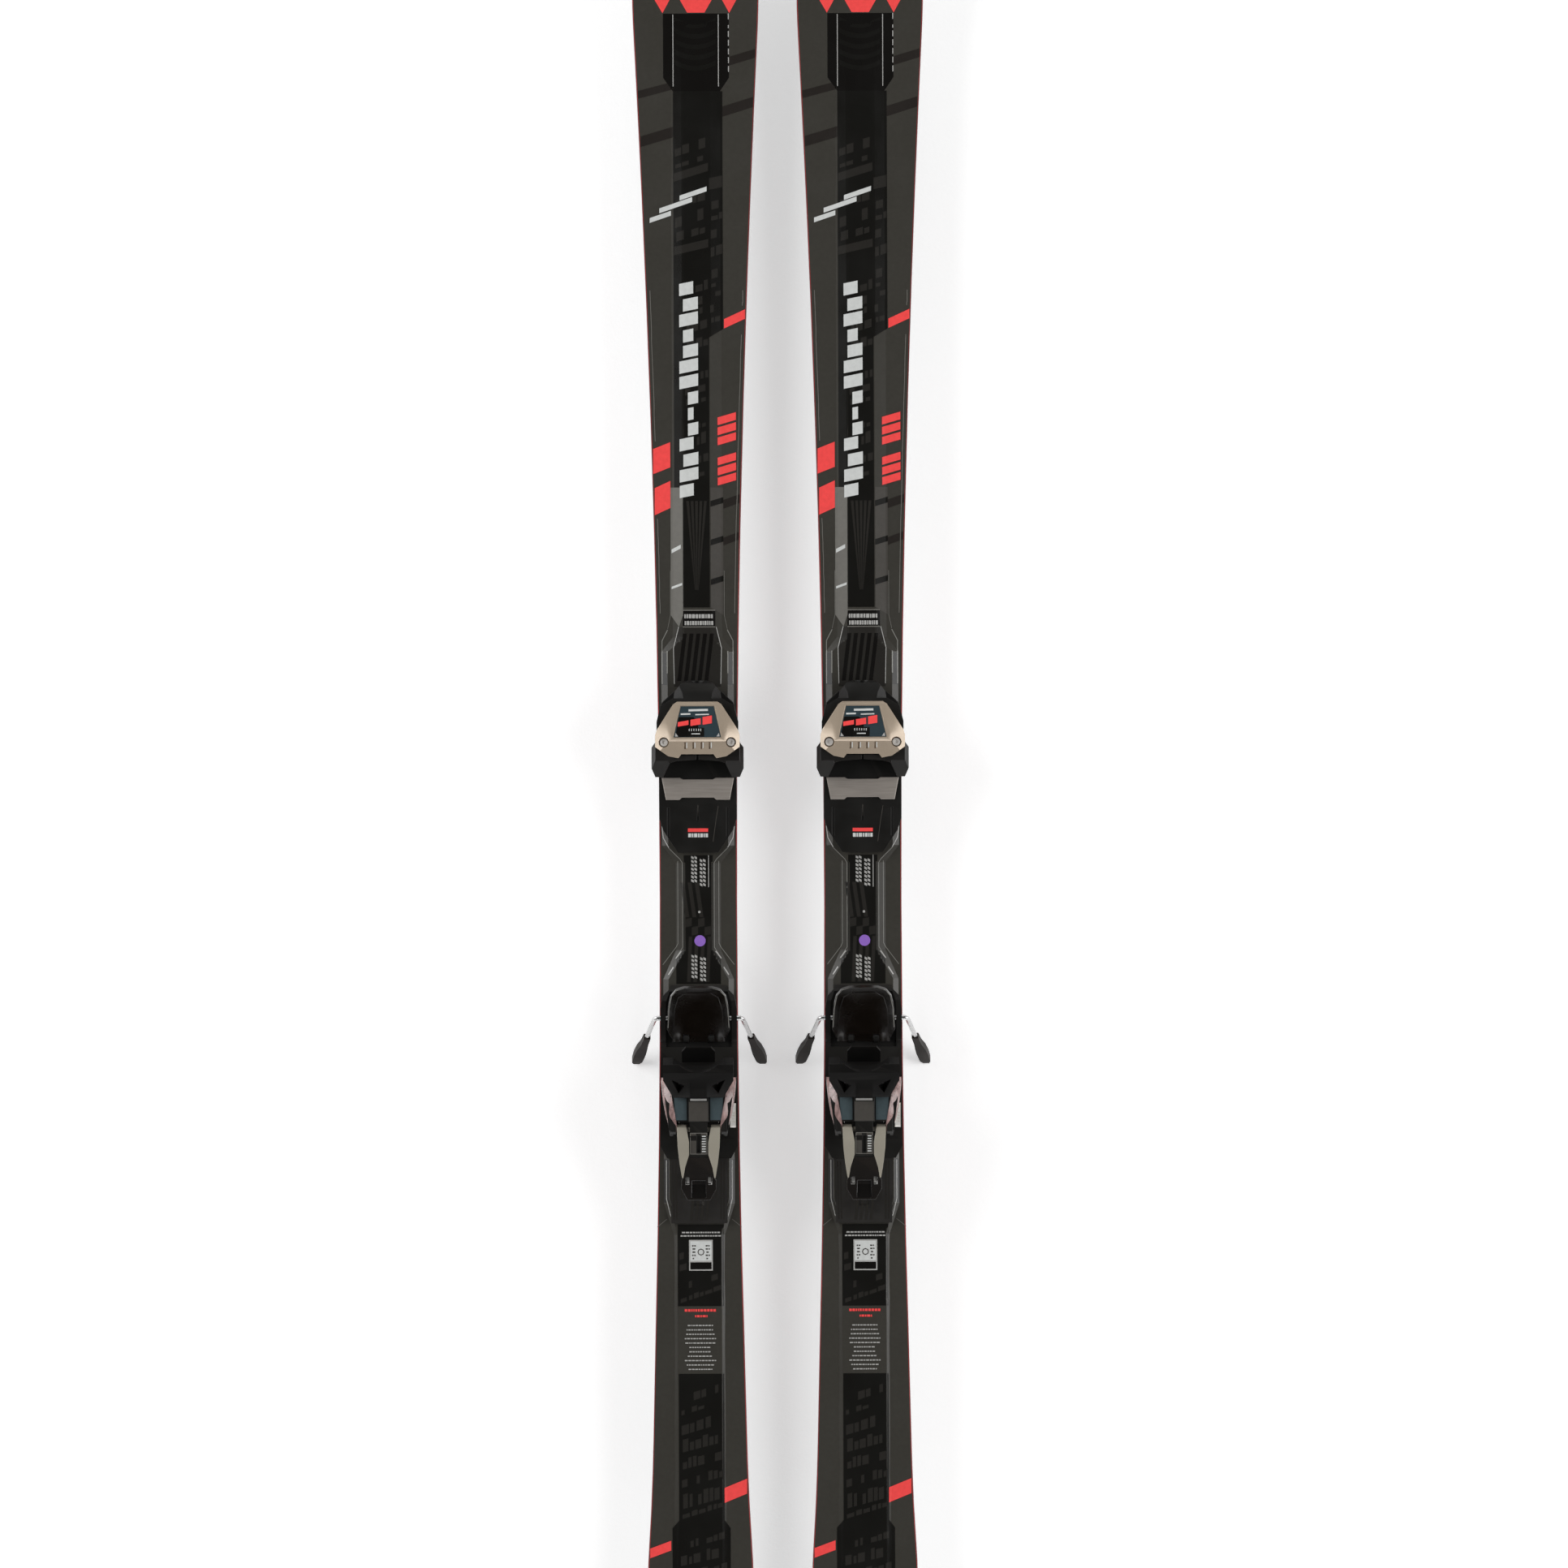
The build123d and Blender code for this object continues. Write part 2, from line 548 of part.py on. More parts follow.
def heel_carriage():
    """The carriage on the track: brake cradle in front, ears for the heel pivot behind."""
    edge = [(30, -236), (37, -243), (39.5, -256), (39.5, -300), (40, -330), (40, -398), (33, -411)]
    profile = [(-236, BASE_BOTTOM), (-236, 24), (-248, 30), (-288, 30), (-291, HEEL_DECK),
               (-392, HEEL_DECK), (-411, 22.8), (-411, BASE_BOTTOM)]
    body = plan(both_sides(edge), BASE_BOTTOM, 40) & side(profile, -45, 45)
    body -= channel(-420, -230)
    body -= plan(both_sides([(30, -238.5), (33.9, -250), (33.9, -296)]), HEEL_FLOOR, 40)
    ear = [(-356, HEEL_FLOOR), (-359, 40), *heel_at([(9.5, 4), (6, 9), (-6, 9), (-9.5, 4)]),
           (-383, 40), (-388, HEEL_FLOOR)]
    for x in (EAR_IN, -EAR_OUT):
        body += side(ear, x, x + EAR_OUT - EAR_IN)
    y, z = HEEL_PIVOT
    body -= rod((-WIDE, y, z), (WIDE, y, z), HEEL_PIN_R)
    body -= rod((-WIDE, BRAKE_Y, BRAKE_Z), (WIDE, BRAKE_Y, BRAKE_Z), WIRE_R + RUN_GAP)
    hinge_y, hinge_z = PEDAL_HINGE
    stand = [(hinge_y - 5, HEEL_FLOOR), (hinge_y - 3, hinge_z + 1), (hinge_y - 1.5, hinge_z + 2.6),
             (hinge_y + 1.5, hinge_z + 2.6), (hinge_y + 3, hinge_z + 1), (hinge_y + 5, HEEL_FLOOR)]
    hole = rod((-WIDE, hinge_y, hinge_z), (WIDE, hinge_y, hinge_z), PEDAL_PIN_R + RUN_GAP)
    for x in (-STAND_X, STAND_X):
        body += side(stand, x - STAND_HALF, x + STAND_HALF) - hole
    low_x, _, low_y, high_y, low_z, _ = TAB
    tab_y, tab_z = TAB_HINGE
    body += block(low_x - 2.6, low_x - 0.5, tab_y - 2.2, tab_y + 2.2, HEEL_FLOOR, tab_z + 1.9)
    body -= block(low_x - 0.5, WIDE, low_y - 1.2, high_y + 0.9, low_z - 0.4, 40)
    body -= rod((low_x - 3, tab_y, tab_z), (low_x, tab_y, tab_z), TAB_PIN_R + RUN_GAP)
    return body


def heel_pin():
    y, z = HEEL_PIVOT
    return rod((-HEEL_PIN_HALF, y, z), (HEEL_PIN_HALF, y, z), HEEL_PIN_R)


def heel_housing():
    """The part that turns up and back: spring block, roof over the ears, two flanks and a tail."""
    y, z = HEEL_PIVOT
    core = heel_at([(-9, -16), (37, 6.5), (38, 12), (24, 35), (-1, 35), (-1, 9.4), (-9, 7)])
    roof = heel_at([(12, 14), (31.5, 15), (24, 35), (-8, 35), (-14, 28), (-14, 14)])
    flank = heel_at([(-8, -12), (36, 4), (38, 12), (30, 25), (18, 32), (-10, 30), (-16, 22), (-15, -2)])
    taper = plan(both_sides([(36.2, -325), (36.2, -336), (28.6, -392), (28.6, -420)]), 20, 100)
    body = side(core, -CORE_HALF, CORE_HALF) + side(roof, -29, 29)
    for x0, x1 in ((FLANK_IN, 40), (-40, -FLANK_IN)):
        body += side(flank, x0, x1)
    body &= taper
    for x0, x1 in ((10.5, 29), (-29, -10.5)):
        body -= block(x0, x1, y - 20, y + 30, z + 31, z + 40)
    body -= block(-23.4, 23.4, y - 30, HEEL_SLOT_Y, z + 9.5, z + 50)
    tail = [(HEEL_SLOT_Y, 68.0), (HEEL_SLOT_Y, 80), (-386, 80), (-406, 75.8), (-406, 70.5), (-392, 67.5)]
    body += side(tail, -TAIL_HALF, TAIL_HALF)
    body -= side([(-385, 90), (-385, 78.6), (-402, 75.0), (-402, 90)], -1.6, 1.6)
    body -= rod((-WIDE, y, z), (WIDE, y, z), HEEL_PIN_R + RUN_GAP)
    lever_y, lever_z = LEVER_PIVOT
    body -= rod((-20, lever_y, lever_z), (20, lever_y, lever_z), LEVER_PIN_R + RUN_GAP)
    body -= turned(HEEL_SPRING_BORE, z + HEEL_SPRING_UP, y)
    body -= turned((-5, HEEL_SPRING_BORE[0] + 1, HEEL_SHANK[2] + 0.4), z + HEEL_SPRING_UP, y)
    return body


def heel_cup():
    """The jaw over the boot's heel, with two windows and the tread that the heel steps on."""
    py, pz = HEEL_PIVOT
    shape = [(36, 76), (36, 60), (25.2, 38.6)]
    jaw = plan([(x, py + y) for x, y in both_sides(shape)], pz + 4, pz + 24)
    centre = py + CUP_CENTRE
    jaw -= rod((0, centre, pz), (0, centre, pz + 18), CUP_SHELL_R)
    jaw -= rod((0, centre, pz + 10), (0, centre, pz + 30), CUP_LIP_R)
    back = block(-17, 17, py + 38.6, py + 60, pz - 16, pz + 6)
    tread = plan([(x, py + y) for x, y in both_sides([(13, 77), (17, 72), (17, 52)])], pz - 18, pz - 14.6)
    window = plan([(27.5, py + 61), (13.5, py + 54), (20.5, py + 45)], pz - 5, pz + 40)
    spine = side(heel_at([(38.6, 20), (38.6, 27), (52, 25.5), (60, 24), (60, 20)]), -8, 8)
    cup = jaw + back + tread + spine - window - mirrored(window)
    cup -= side(heel_at([(60, 30), (78, 18), (78, 30)]), -WIDE, WIDE)
    for x0, x1 in ((-WIDE, -8.5), (8.5, WIDE)):
        cup -= side(heel_at([(30, 18.5), (46, 26), (30, 26)]), x0, x1)
    cup = about(HEEL_PIVOT, HEEL_OPEN) * cup
    wall = heel_at([(37, 6.5), (38, 12), (24, 35), (24, 60), (0, 60), (0, -30), (37, -30)])
    return cup - side(wall, -60, 60)


def heel_spring():
    y, z = HEEL_PIVOT
    up = z + HEEL_SPRING_UP
    start, end, radius, wire, turns = HEEL_SPRING
    return coil((0, y + start, up), (0, y + end, up), radius, wire, turns)


def heel_screw():
    """The release-value screw of the heel: slotted head behind the housing, shank in the spring."""
    y, z = HEEL_PIVOT
    up = z + HEEL_SPRING_UP
    body = turned(HEEL_HEAD, up, y) + turned(HEEL_SHANK, up, y)
    return body - block(-7, 7, y + HEEL_HEAD[0] - 1, y + HEEL_HEAD[0] + 1.6, up - 0.7, up + 0.7)


def heel_lever():
    """The light metal fork of the opening lever, on a pin through the housing's tail."""
    y, z = LEVER_PIVOT
    outer = [(17.2, -429), (19.6, -414), (21.4, -398), (22.4, -374)]
    blade_edge = [(13, -374), *LEVER_IN, *outer]
    profile = [(y + 3.5, z - 4), (y + 5, z + 1), (y + 2, z + 6), (-388, 80.5), (-400, 79.5), (-429, 69.5),
               (-429, 66.8), (-400, 74), (-388, 73), (y - 3, z - 4.5)]
    blade = plan(blade_edge, 60, 90) & side(profile, 0, 30)
    pin = rod((-18, y, z), (18, y, z), LEVER_PIN_R)
    return blade + mirrored(blade) + pin


def lever_pad():
    """The black foot of the lever, between the blades, with a dimple for a ski pole's tip."""
    start = -408.0
    (x0, y0), (x1, y1) = LEVER_IN[1], LEVER_IN[2]
    first = (x0 + (x1 - x0) * (start - y0) / (y1 - y0), start)
    edge = [first, *LEVER_IN[2:], (17.8, -431), (17.8, -441), (11.5, -452)]
    profile = [(start, 70.4), (start, 75.4), (-429, 68.8), (-440, 66.6), (-452, 65.6), (-452, 61.4),
               (-440, 61.4), (-429, 64.0)]
    pad = plan(both_sides(edge), 50, 90) & side(profile, -20, 20)
    pad -= block(-7.4, 7.4, -449.5, -432, 64.2, 80)
    for x in (-11.2, 11.2):
        pad -= block(x - 1.4, x + 1.4, -434.5, -428.5, 66.4, 80)
    return pad


def heel_lock_tab():
    """The white tab beside the carriage, which lifts on a small pin to let the carriage slide."""
    x0, x1, y0, y1, z0, z1 = TAB
    tab = side([(y0, z0), (y0, z1 - 1.4), (y0 + 2, z1), (y1 - 1.6, z1), (y1, z1 - 1.6), (y1, z0 + 1.3),
                (y1 - 1.3, z0)], x0, x1)
    hinge_y, hinge_z = TAB_HINGE
    tab += rod((x0 - 2.2, hinge_y, hinge_z), (x0 + 1, hinge_y, hinge_z), TAB_PIN_R)
    for y in (-364, -367, -370, -373):
        tab -= block(x0 + 1, x1 - 1, y - 0.5, y + 0.5, z1 - 0.6, z1 + 1)
    return tab


# --- brake ---------------------------------------------------------------------------------------
def brake_pose(shape):
    """From stowed, with the arms level, to down."""
    return about((BRAKE_Y, BRAKE_Z), BRAKE_DOWN) * shape


def brake_arms():
    """One bent wire: an arm on each side, the turning pins in the cradle and the crank between."""
    rise = math.radians(CRANK_UP)
    crank_y, crank_z = BRAKE_Y + CRANK * math.cos(rise), BRAKE_Z + CRANK * math.sin(rise)
    start, knee, end = ARM_X
    right = [
        (CRANK_HALF, crank_y, crank_z),
        (CRANK_HALF, BRAKE_Y, BRAKE_Z),
        (start, BRAKE_Y, BRAKE_Z),
        (knee, BRAKE_Y - ARM_KNEE, BRAKE_Z),
        (end, BRAKE_Y - BRAKE_REACH, BRAKE_Z),
    ]
    points = [(-x, y, z) for x, y, z in reversed(right)] + right
    path = FilletPolyline(*points, radius=ARM_BEND)
    return brake_pose(sweep(Plane(origin=path @ 0, z_dir=path % 0) * Circle(WIRE_R), path=path))


def brake_tips(arms):
    """The plastic paddles on the ends of the wire."""
    _, knee, end = ARM_X
    lean = (end - knee) / (BRAKE_REACH - ARM_KNEE)

    def place(along, across):
        return (knee + lean * (along - ARM_KNEE) + across, BRAKE_Y - along)

    tip_end = BRAKE_REACH + 4
    edge = [place(TIP_START, -3.5), place(TIP_START, 3.5), place(48, 3.8), place(58, 5.8), place(70, 6.4),
            place(82, 5.6), place(tip_end, 2.8), place(tip_end, -3.2), place(80, -5.2), place(66, -5.4),
            place(56, -4.6), place(48, -3.7)]
    tip = plan(edge, BRAKE_Z - TIP_HALF, BRAKE_Z + TIP_HALF)
    thin = [(-TIP_START + 1, -3.4), (-TIP_START + 1, 3.4), (-58, TIP_HALF), (-82, TIP_HALF),
            (-tip_end - 1, 2.0), (-tip_end - 1, -2.0), (-82, -TIP_HALF), (-58, -TIP_HALF)]
    tip &= side([(BRAKE_Y + y, BRAKE_Z + z) for y, z in thin], 20, 90)
    return Compound([(brake_pose(half) - arms).solid() for half in (tip, mirrored(tip))])


def brake_pedal():
    """The pedal that the boot treads down: a ribbed shell on two hinge lugs at its rear."""
    y, z = PEDAL_HINGE
    top_edge = [(28, 2.5), (32.6, 14), (31.4, 40), (28.4, 57), (23, 65), (15, PEDAL_LONG)]
    top = plan([(x, y + d) for x, d in both_sides(top_edge)], z - 0.5, z + 2.2)
    rim_edge = [(27.5, 8), (31.2, 15), (30, 40), (27, 56), (22, 63.5), (14.5, PEDAL_LONG - 1.5)]
    well_edge = [(28.8, 8), (28.8, 40), (24.8, 55), (20, 61.5), (13, PEDAL_LONG - 4)]
    rim = plan([(x, y + d) for x, d in both_sides(rim_edge)], z - 3.4, z)
    rim -= plan([(x, y + d) for x, d in both_sides([(28.8, 6.0), *well_edge])], z - 5, z - 0.4)
    field_edge = [(22, 10), (25.5, 20), (24.5, 40), (20.5, 56), (12, 62)]
    field = plan([(x, y + d) for x, d in both_sides(field_edge)], z + 2, z + 3.2)
    lug = block(-9.5, 9.5, y - 2.5, y + 4, z - 2.4, z + 2.2)
    outer_lugs = block(16.4, 27, y - 2.5, y + 4, z - 2.4, z + 2.2)
    pin = rod((-20, y, z), (20, y, z), PEDAL_PIN_R)
    notch = block(10.0, 16.0, y - 4, y + 7, z - 4, z + 4)
    pedal = top + rim + field + lug + outer_lugs + mirrored(outer_lugs) - notch - mirrored(notch) + pin
    return about(PEDAL_HINGE, PEDAL_UP) * pedal


# --- one ski, twice ------------------------------------------------------------------------------
def ski_with_binding():
    """Every piece of one ski, by name, about the ski's own centre line."""
    pieces = ski_layers()
    pieces["binding_tracks"] = tracks()
    pieces["track_screws"] = track_screws()
    wing = toe_wing()
    toe = {
        "toe_base": toe_base(),
        "afd_plate": afd_plate(),
        "toe_housing": toe_housing(),
        "toe_cap": toe_cap(),
        "toe_wing_left": wing,
        "toe_wing_right": mirrored(wing),
        "toe_wing_pins": toe_pins(),
        "toe_spring": toe_spring(),
        "toe_release_screw": toe_screw(),
    }
    pieces.update({name: Pos(0, TOE_Y, 0) * shape for name, shape in toe.items()})
    arms = brake_arms()
    pieces.update({
        "heel_carriage": heel_carriage(),
        "heel_pin": heel_pin(),
        "heel_housing": heel_housing(),
        "heel_cup": heel_cup(),
        "heel_spring": heel_spring(),
        "heel_release_screw": heel_screw(),
        "heel_lever": heel_lever(),
        "lever_pad": lever_pad(),
        "heel_lock_tab": heel_lock_tab(),
        "brake_pedal": brake_pedal(),
        "brake_arms": arms,
        "brake_tips": brake_tips(arms),
    })
    return pieces


os.makedirs("parts", exist_ok=True)
pieces = ski_with_binding()
LIFT = -pieces["brake_tips"].bounding_box().min.Z
for ski, hand in (("left", -1), ("right", 1)):
    for name, shape in pieces.items():
        placed = Pos(hand * SKI_SPACING / 2, 0, LIFT) * shape
        export_step(placed, f"parts/{ski}_ski_{name}.step")
print("lift", round(LIFT, 3))
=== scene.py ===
"""Looks for a pair of alpine skis with bindings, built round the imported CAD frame.

Everything is in metres in the frame's own axes: +Y towards the tips, +Z up. The printed panels and
labels are outlines in millimetres, x from the ski's centre line and y along it, which drape() lays on
the CAD surfaces. Both skis carry the same prints, not mirrored.
"""

import json
import math
import random
from collections import namedtuple

import bmesh
import bpy
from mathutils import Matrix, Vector
from mathutils.bvhtree import BVHTree

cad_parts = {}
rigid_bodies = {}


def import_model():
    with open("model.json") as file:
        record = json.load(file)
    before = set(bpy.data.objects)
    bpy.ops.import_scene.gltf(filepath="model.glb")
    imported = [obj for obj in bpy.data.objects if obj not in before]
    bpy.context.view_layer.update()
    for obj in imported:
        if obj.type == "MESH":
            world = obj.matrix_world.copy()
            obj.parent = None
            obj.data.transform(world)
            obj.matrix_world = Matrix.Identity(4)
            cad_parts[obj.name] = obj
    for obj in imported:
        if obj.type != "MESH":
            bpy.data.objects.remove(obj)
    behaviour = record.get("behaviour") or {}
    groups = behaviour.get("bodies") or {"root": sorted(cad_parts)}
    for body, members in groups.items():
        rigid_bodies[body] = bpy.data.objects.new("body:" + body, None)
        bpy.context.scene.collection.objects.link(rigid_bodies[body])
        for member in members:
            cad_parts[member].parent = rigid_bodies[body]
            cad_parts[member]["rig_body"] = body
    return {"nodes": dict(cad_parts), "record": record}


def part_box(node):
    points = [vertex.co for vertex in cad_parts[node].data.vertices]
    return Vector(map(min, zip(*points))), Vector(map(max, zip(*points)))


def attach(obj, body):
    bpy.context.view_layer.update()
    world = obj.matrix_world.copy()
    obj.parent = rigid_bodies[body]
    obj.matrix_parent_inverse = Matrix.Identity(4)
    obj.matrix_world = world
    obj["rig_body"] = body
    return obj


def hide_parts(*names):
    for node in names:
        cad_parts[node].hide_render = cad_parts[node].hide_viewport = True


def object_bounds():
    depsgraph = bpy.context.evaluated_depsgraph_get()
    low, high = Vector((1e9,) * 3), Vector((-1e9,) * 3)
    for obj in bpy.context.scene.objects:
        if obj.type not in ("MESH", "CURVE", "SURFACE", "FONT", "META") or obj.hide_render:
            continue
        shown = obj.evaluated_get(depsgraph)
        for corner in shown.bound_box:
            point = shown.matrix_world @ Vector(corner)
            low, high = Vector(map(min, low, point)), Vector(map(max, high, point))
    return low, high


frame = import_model()
cad_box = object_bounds()

MM = 0.001
SKIS = ("left", "right")
NODES = frame["nodes"]


def middle_x(ski):
    """The x of a ski's centre line."""
    low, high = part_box(f"{ski}_ski_topsheet")
    return (low.x + high.x) / 2


CENTRE = {ski: middle_x(ski) for ski in SKIS}


# --- materials -----------------------------------------------------------------------------------
EVEN = (1, 1, 1)
# Painted edge highlight: the pointiness where it starts, how quickly it comes in, and its strongest share.
HIGHLIGHT_POINTINESS = 0.53
HIGHLIGHT_SPREAD = 0.03
HIGHLIGHT_SHARE = 0.6


def srgb(red, green, blue):
    """A colour given in 0-255 display values, as linear light."""
    def linear(value):
        value /= 255
        return value / 12.92 if value <= 0.04045 else ((value + 0.055) / 1.055) ** 2.4
    return (linear(red), linear(green), linear(blue), 1.0)


def shaded(colour, factor):
    """The colour made darker or lighter by a factor."""
    return tuple(min(1.0, c * factor) for c in colour[:3]) + (1.0,)


class Finish:
    """A Principled material whose colour, roughness and relief come from layered noise.

    A noise scale is in features per metre, so a larger one is finer.
    """

    def __init__(self, name, colour, roughness, metallic=0.0, coat=0.0, coat_roughness=0.1, shine=0.5):
        self.material = bpy.data.materials.new(name)
        self.material.use_nodes = True
        self.material.diffuse_color = colour
        tree = self.material.node_tree
        self.nodes, self.links = tree.nodes, tree.links
        self.shader = self.nodes["Principled BSDF"]
        self.place = self.nodes.new("ShaderNodeTexCoord").outputs["Object"]
        self.height = None
        self.tone = None
        self.colour = colour
        self.shader.inputs["Base Color"].default_value = colour
        self.shader.inputs["Roughness"].default_value = roughness
        self.shader.inputs["Metallic"].default_value = metallic
        self.shader.inputs["Specular IOR Level"].default_value = shine
        self.shader.inputs["Coat Weight"].default_value = coat
        self.shader.inputs["Coat Roughness"].default_value = coat_roughness

    def stretched(self, scale):
        """Object coordinates, scaled along each axis."""
        mapping = self.nodes.new("ShaderNodeMapping")
        mapping.inputs["Scale"].default_value = scale
        self.links.new(self.place, mapping.inputs["Vector"])
        return mapping.outputs["Vector"]

    def noise(self, scale, detail, stretch=EVEN):
        """Noise in the range 0 to 1, about 0.5."""
        texture = self.nodes.new("ShaderNodeTexNoise")
        texture.inputs["Scale"].default_value = scale
        texture.inputs["Detail"].default_value = detail
        self.links.new(self.stretched(stretch), texture.inputs["Vector"])
        return texture.outputs["Fac"]

    def remap(self, value, low, high, from_low=0.3, from_high=0.7):
        """A value spread from one range to another; the first is noise's usual range."""
        node = self.nodes.new("ShaderNodeMapRange")
        node.inputs["From Min"].default_value = from_low
        node.inputs["From Max"].default_value = from_high
        node.inputs["To Min"].default_value = low
        node.inputs["To Max"].default_value = high
        self.links.new(value, node.inputs["Value"])
        return node.outputs["Result"]

    def mottle(self, scale, amount, detail=4.0, stretch=EVEN):
        """Varies the colour between darker and lighter by amount."""
        mix = self.nodes.new("ShaderNodeMix")
        mix.data_type = "RGBA"
        mix.inputs["A"].default_value = shaded(self.colour, 1 - amount)
        mix.inputs["B"].default_value = shaded(self.colour, 1 + amount)
        self.links.new(self.remap(self.noise(scale, detail, stretch), 0, 1), mix.inputs["Factor"])
        self.tone = mix.outputs["Result"]
        self.links.new(self.tone, self.shader.inputs["Base Color"])
        return self

    def overlay(self, mask, colour):
        """Lays another colour over the present one where mask is 1."""
        mix = self.nodes.new("ShaderNodeMix")
        mix.data_type = "RGBA"
        mix.inputs["A"].default_value = self.colour
        mix.inputs["B"].default_value = colour
        if self.tone:
            self.links.new(self.tone, mix.inputs["A"])
        self.links.new(mask, mix.inputs["Factor"])
        self.tone = mix.outputs["Result"]
        self.links.new(self.tone, self.shader.inputs["Base Color"])
        return self

    def smudges(self, scale, low, high, stretch=EVEN):
        """Roughness that wanders between low and high, as handling leaves it."""
        wander = self.remap(self.noise(scale, 5.0, stretch), low, high)
        self.links.new(wander, self.shader.inputs["Roughness"])
        return self

    def relief(self, scale, depth, detail=2.0, stretch=EVEN):
        """Fine surface relief of that depth in metres; calls add up."""
        bump = self.nodes.new("ShaderNodeBump")
        bump.inputs["Distance"].default_value = depth
        bump.inputs["Strength"].default_value = 1.0
        self.links.new(self.noise(scale, detail, stretch), bump.inputs["Height"])
        if self.height:
            self.links.new(self.height, bump.inputs["Normal"])
        self.height = bump.outputs["Normal"]
        self.links.new(self.height, self.shader.inputs["Normal"])
        return self

    def paint_edge_highlight(self, colour):
        """Paler edges, a painted highlight, found from the curvature of the surface."""
        point = self.nodes.new("ShaderNodeNewGeometry").outputs["Pointiness"]
        edge = self.remap(point, 0, HIGHLIGHT_SHARE, HIGHLIGHT_POINTINESS, HIGHLIGHT_POINTINESS + HIGHLIGHT_SPREAD)
        return self.overlay(edge, colour)


def plastic(name, colour, roughness, coat=0.0, shine=0.5):
    """Moulded plastic: fine spark-eroded grain, faint flow marks and edges painted paler as highlights."""
    finish = Finish(name, colour, roughness, coat=coat, shine=shine)
    finish.mottle(60, 0.12).smudges(45, roughness - 0.07, roughness + 0.09)
    finish.relief(5200, 0.0000035, 1.0).relief(90, 0.00003, 2.0)
    # Painted highlight: the convex edges are painted much paler than the plastic.
    return finish.paint_edge_highlight(shaded(colour, 2.2)).material


def painted(name, colour, roughness=0.34):
    """Metallic paint: flake sparkle under a satin lacquer."""
    finish = Finish(name, colour, roughness, metallic=0.35, coat=0.3, coat_roughness=0.22)
    finish.mottle(5200, 0.16, 2.0).smudges(30, roughness - 0.05, roughness + 0.08)
    # Painted highlight: the convex edges are painted a little paler than the paint.
    return finish.relief(3800, 0.0000016).relief(70, 0.00002).paint_edge_highlight(shaded(colour, 1.3)).material


def brushed(name, colour, stretch, roughness=0.33, metallic=1.0):
    """Metal with a brushed grain that runs along the axis with the smallest stretch."""
    finish = Finish(name, colour, roughness, metallic=metallic)
    finish.mottle(900, 0.14, 4.0, stretch).smudges(700, roughness - 0.08, roughness + 0.12, stretch)
    return finish.relief(900, 0.0000025, 3.0, stretch).material


def printed(name, colour, roughness=0.3, coat=0.12, shine=0.3):
    """Ink under a satin topsheet film."""
    finish = Finish(name, colour, roughness, coat=coat, coat_roughness=0.18, shine=shine)
    finish.mottle(240, 0.05).smudges(25, roughness - 0.05, roughness + 0.07)
    return finish.relief(2600, 0.0000010).relief(55, 0.000035, 2.0).material


def wooden():
    """Pale core timber, its grain along the ski."""
    finish = Finish("core_wood", (0.55, 0.36, 0.19, 1), 0.6)
    finish.mottle(30, 0.35, 6.0, (8, 0.4, 8)).relief(400, 0.00005, 4.0, (4, 0.1, 4))
    return finish.material


def base_plastic():
    """Sintered running base, ground with fine lengthwise structure."""
    finish = Finish("ski_base", (0.018, 0.018, 0.02, 1), 0.42)
    finish.mottle(500, 0.3, 5.0).smudges(300, 0.34, 0.52, (1, 0.05, 1))
    return finish.relief(2400, 0.000004, 2.0, (1, 0.02, 1)).material


SLOT_MATERIALS = {
    "ski_base": base_plastic(),
    "edge_steel": brushed("edge_steel", (0.56, 0.57, 0.58, 1), (1, 0.03, 1)),
    "core_wood": wooden(),
    "sidewall_red": plastic("sidewall_red", srgb(150, 50, 50), 0.38),
    "titanal": brushed("titanal", (0.66, 0.66, 0.68, 1), (1, 0.05, 1)),
    "topsheet": printed("topsheet", srgb(57, 55, 50), 0.34),
    "tail_plastic": plastic("tail_plastic", srgb(30, 28, 27), 0.5),
    "track_plastic": plastic("track_plastic", srgb(22, 20, 18), 0.42),
    "screw_steel": brushed("screw_steel", (0.10, 0.10, 0.105, 1), EVEN, 0.4),
    "binding_black": plastic("binding_black", srgb(18, 17, 15), 0.42, shine=0.3),
    "glide_metal": brushed("glide_metal", srgb(150, 143, 136), (0.04, 1, 1), 0.42, 0.3),
    "champagne": painted("champagne", srgb(178, 162, 143)),
    "wing_black": plastic("wing_black", srgb(22, 20, 18), 0.36, coat=0.1, shine=0.4),
    "pin_steel": brushed("pin_steel", (0.84, 0.82, 0.79, 1), EVEN, 0.3, 0.2),
    "spring_steel": brushed("spring_steel", (0.35, 0.35, 0.37, 1), EVEN),
    "heel_body": plastic("heel_body", srgb(20, 19, 17), 0.36, coat=0.12, shine=0.35),
    "lever_metal": painted("lever_metal", srgb(166, 160, 146), 0.38),
    "tab_white": plastic("tab_white", srgb(236, 230, 216), 0.42),
    "pedal_black": plastic("pedal_black", srgb(17, 13, 10), 0.2, coat=0.5),
    "wire_steel": brushed("wire_steel", (0.6, 0.6, 0.6, 1), EVEN, 0.25),
    "brake_plastic": plastic("brake_plastic", srgb(28, 23, 20), 0.5, shine=0.2),
}

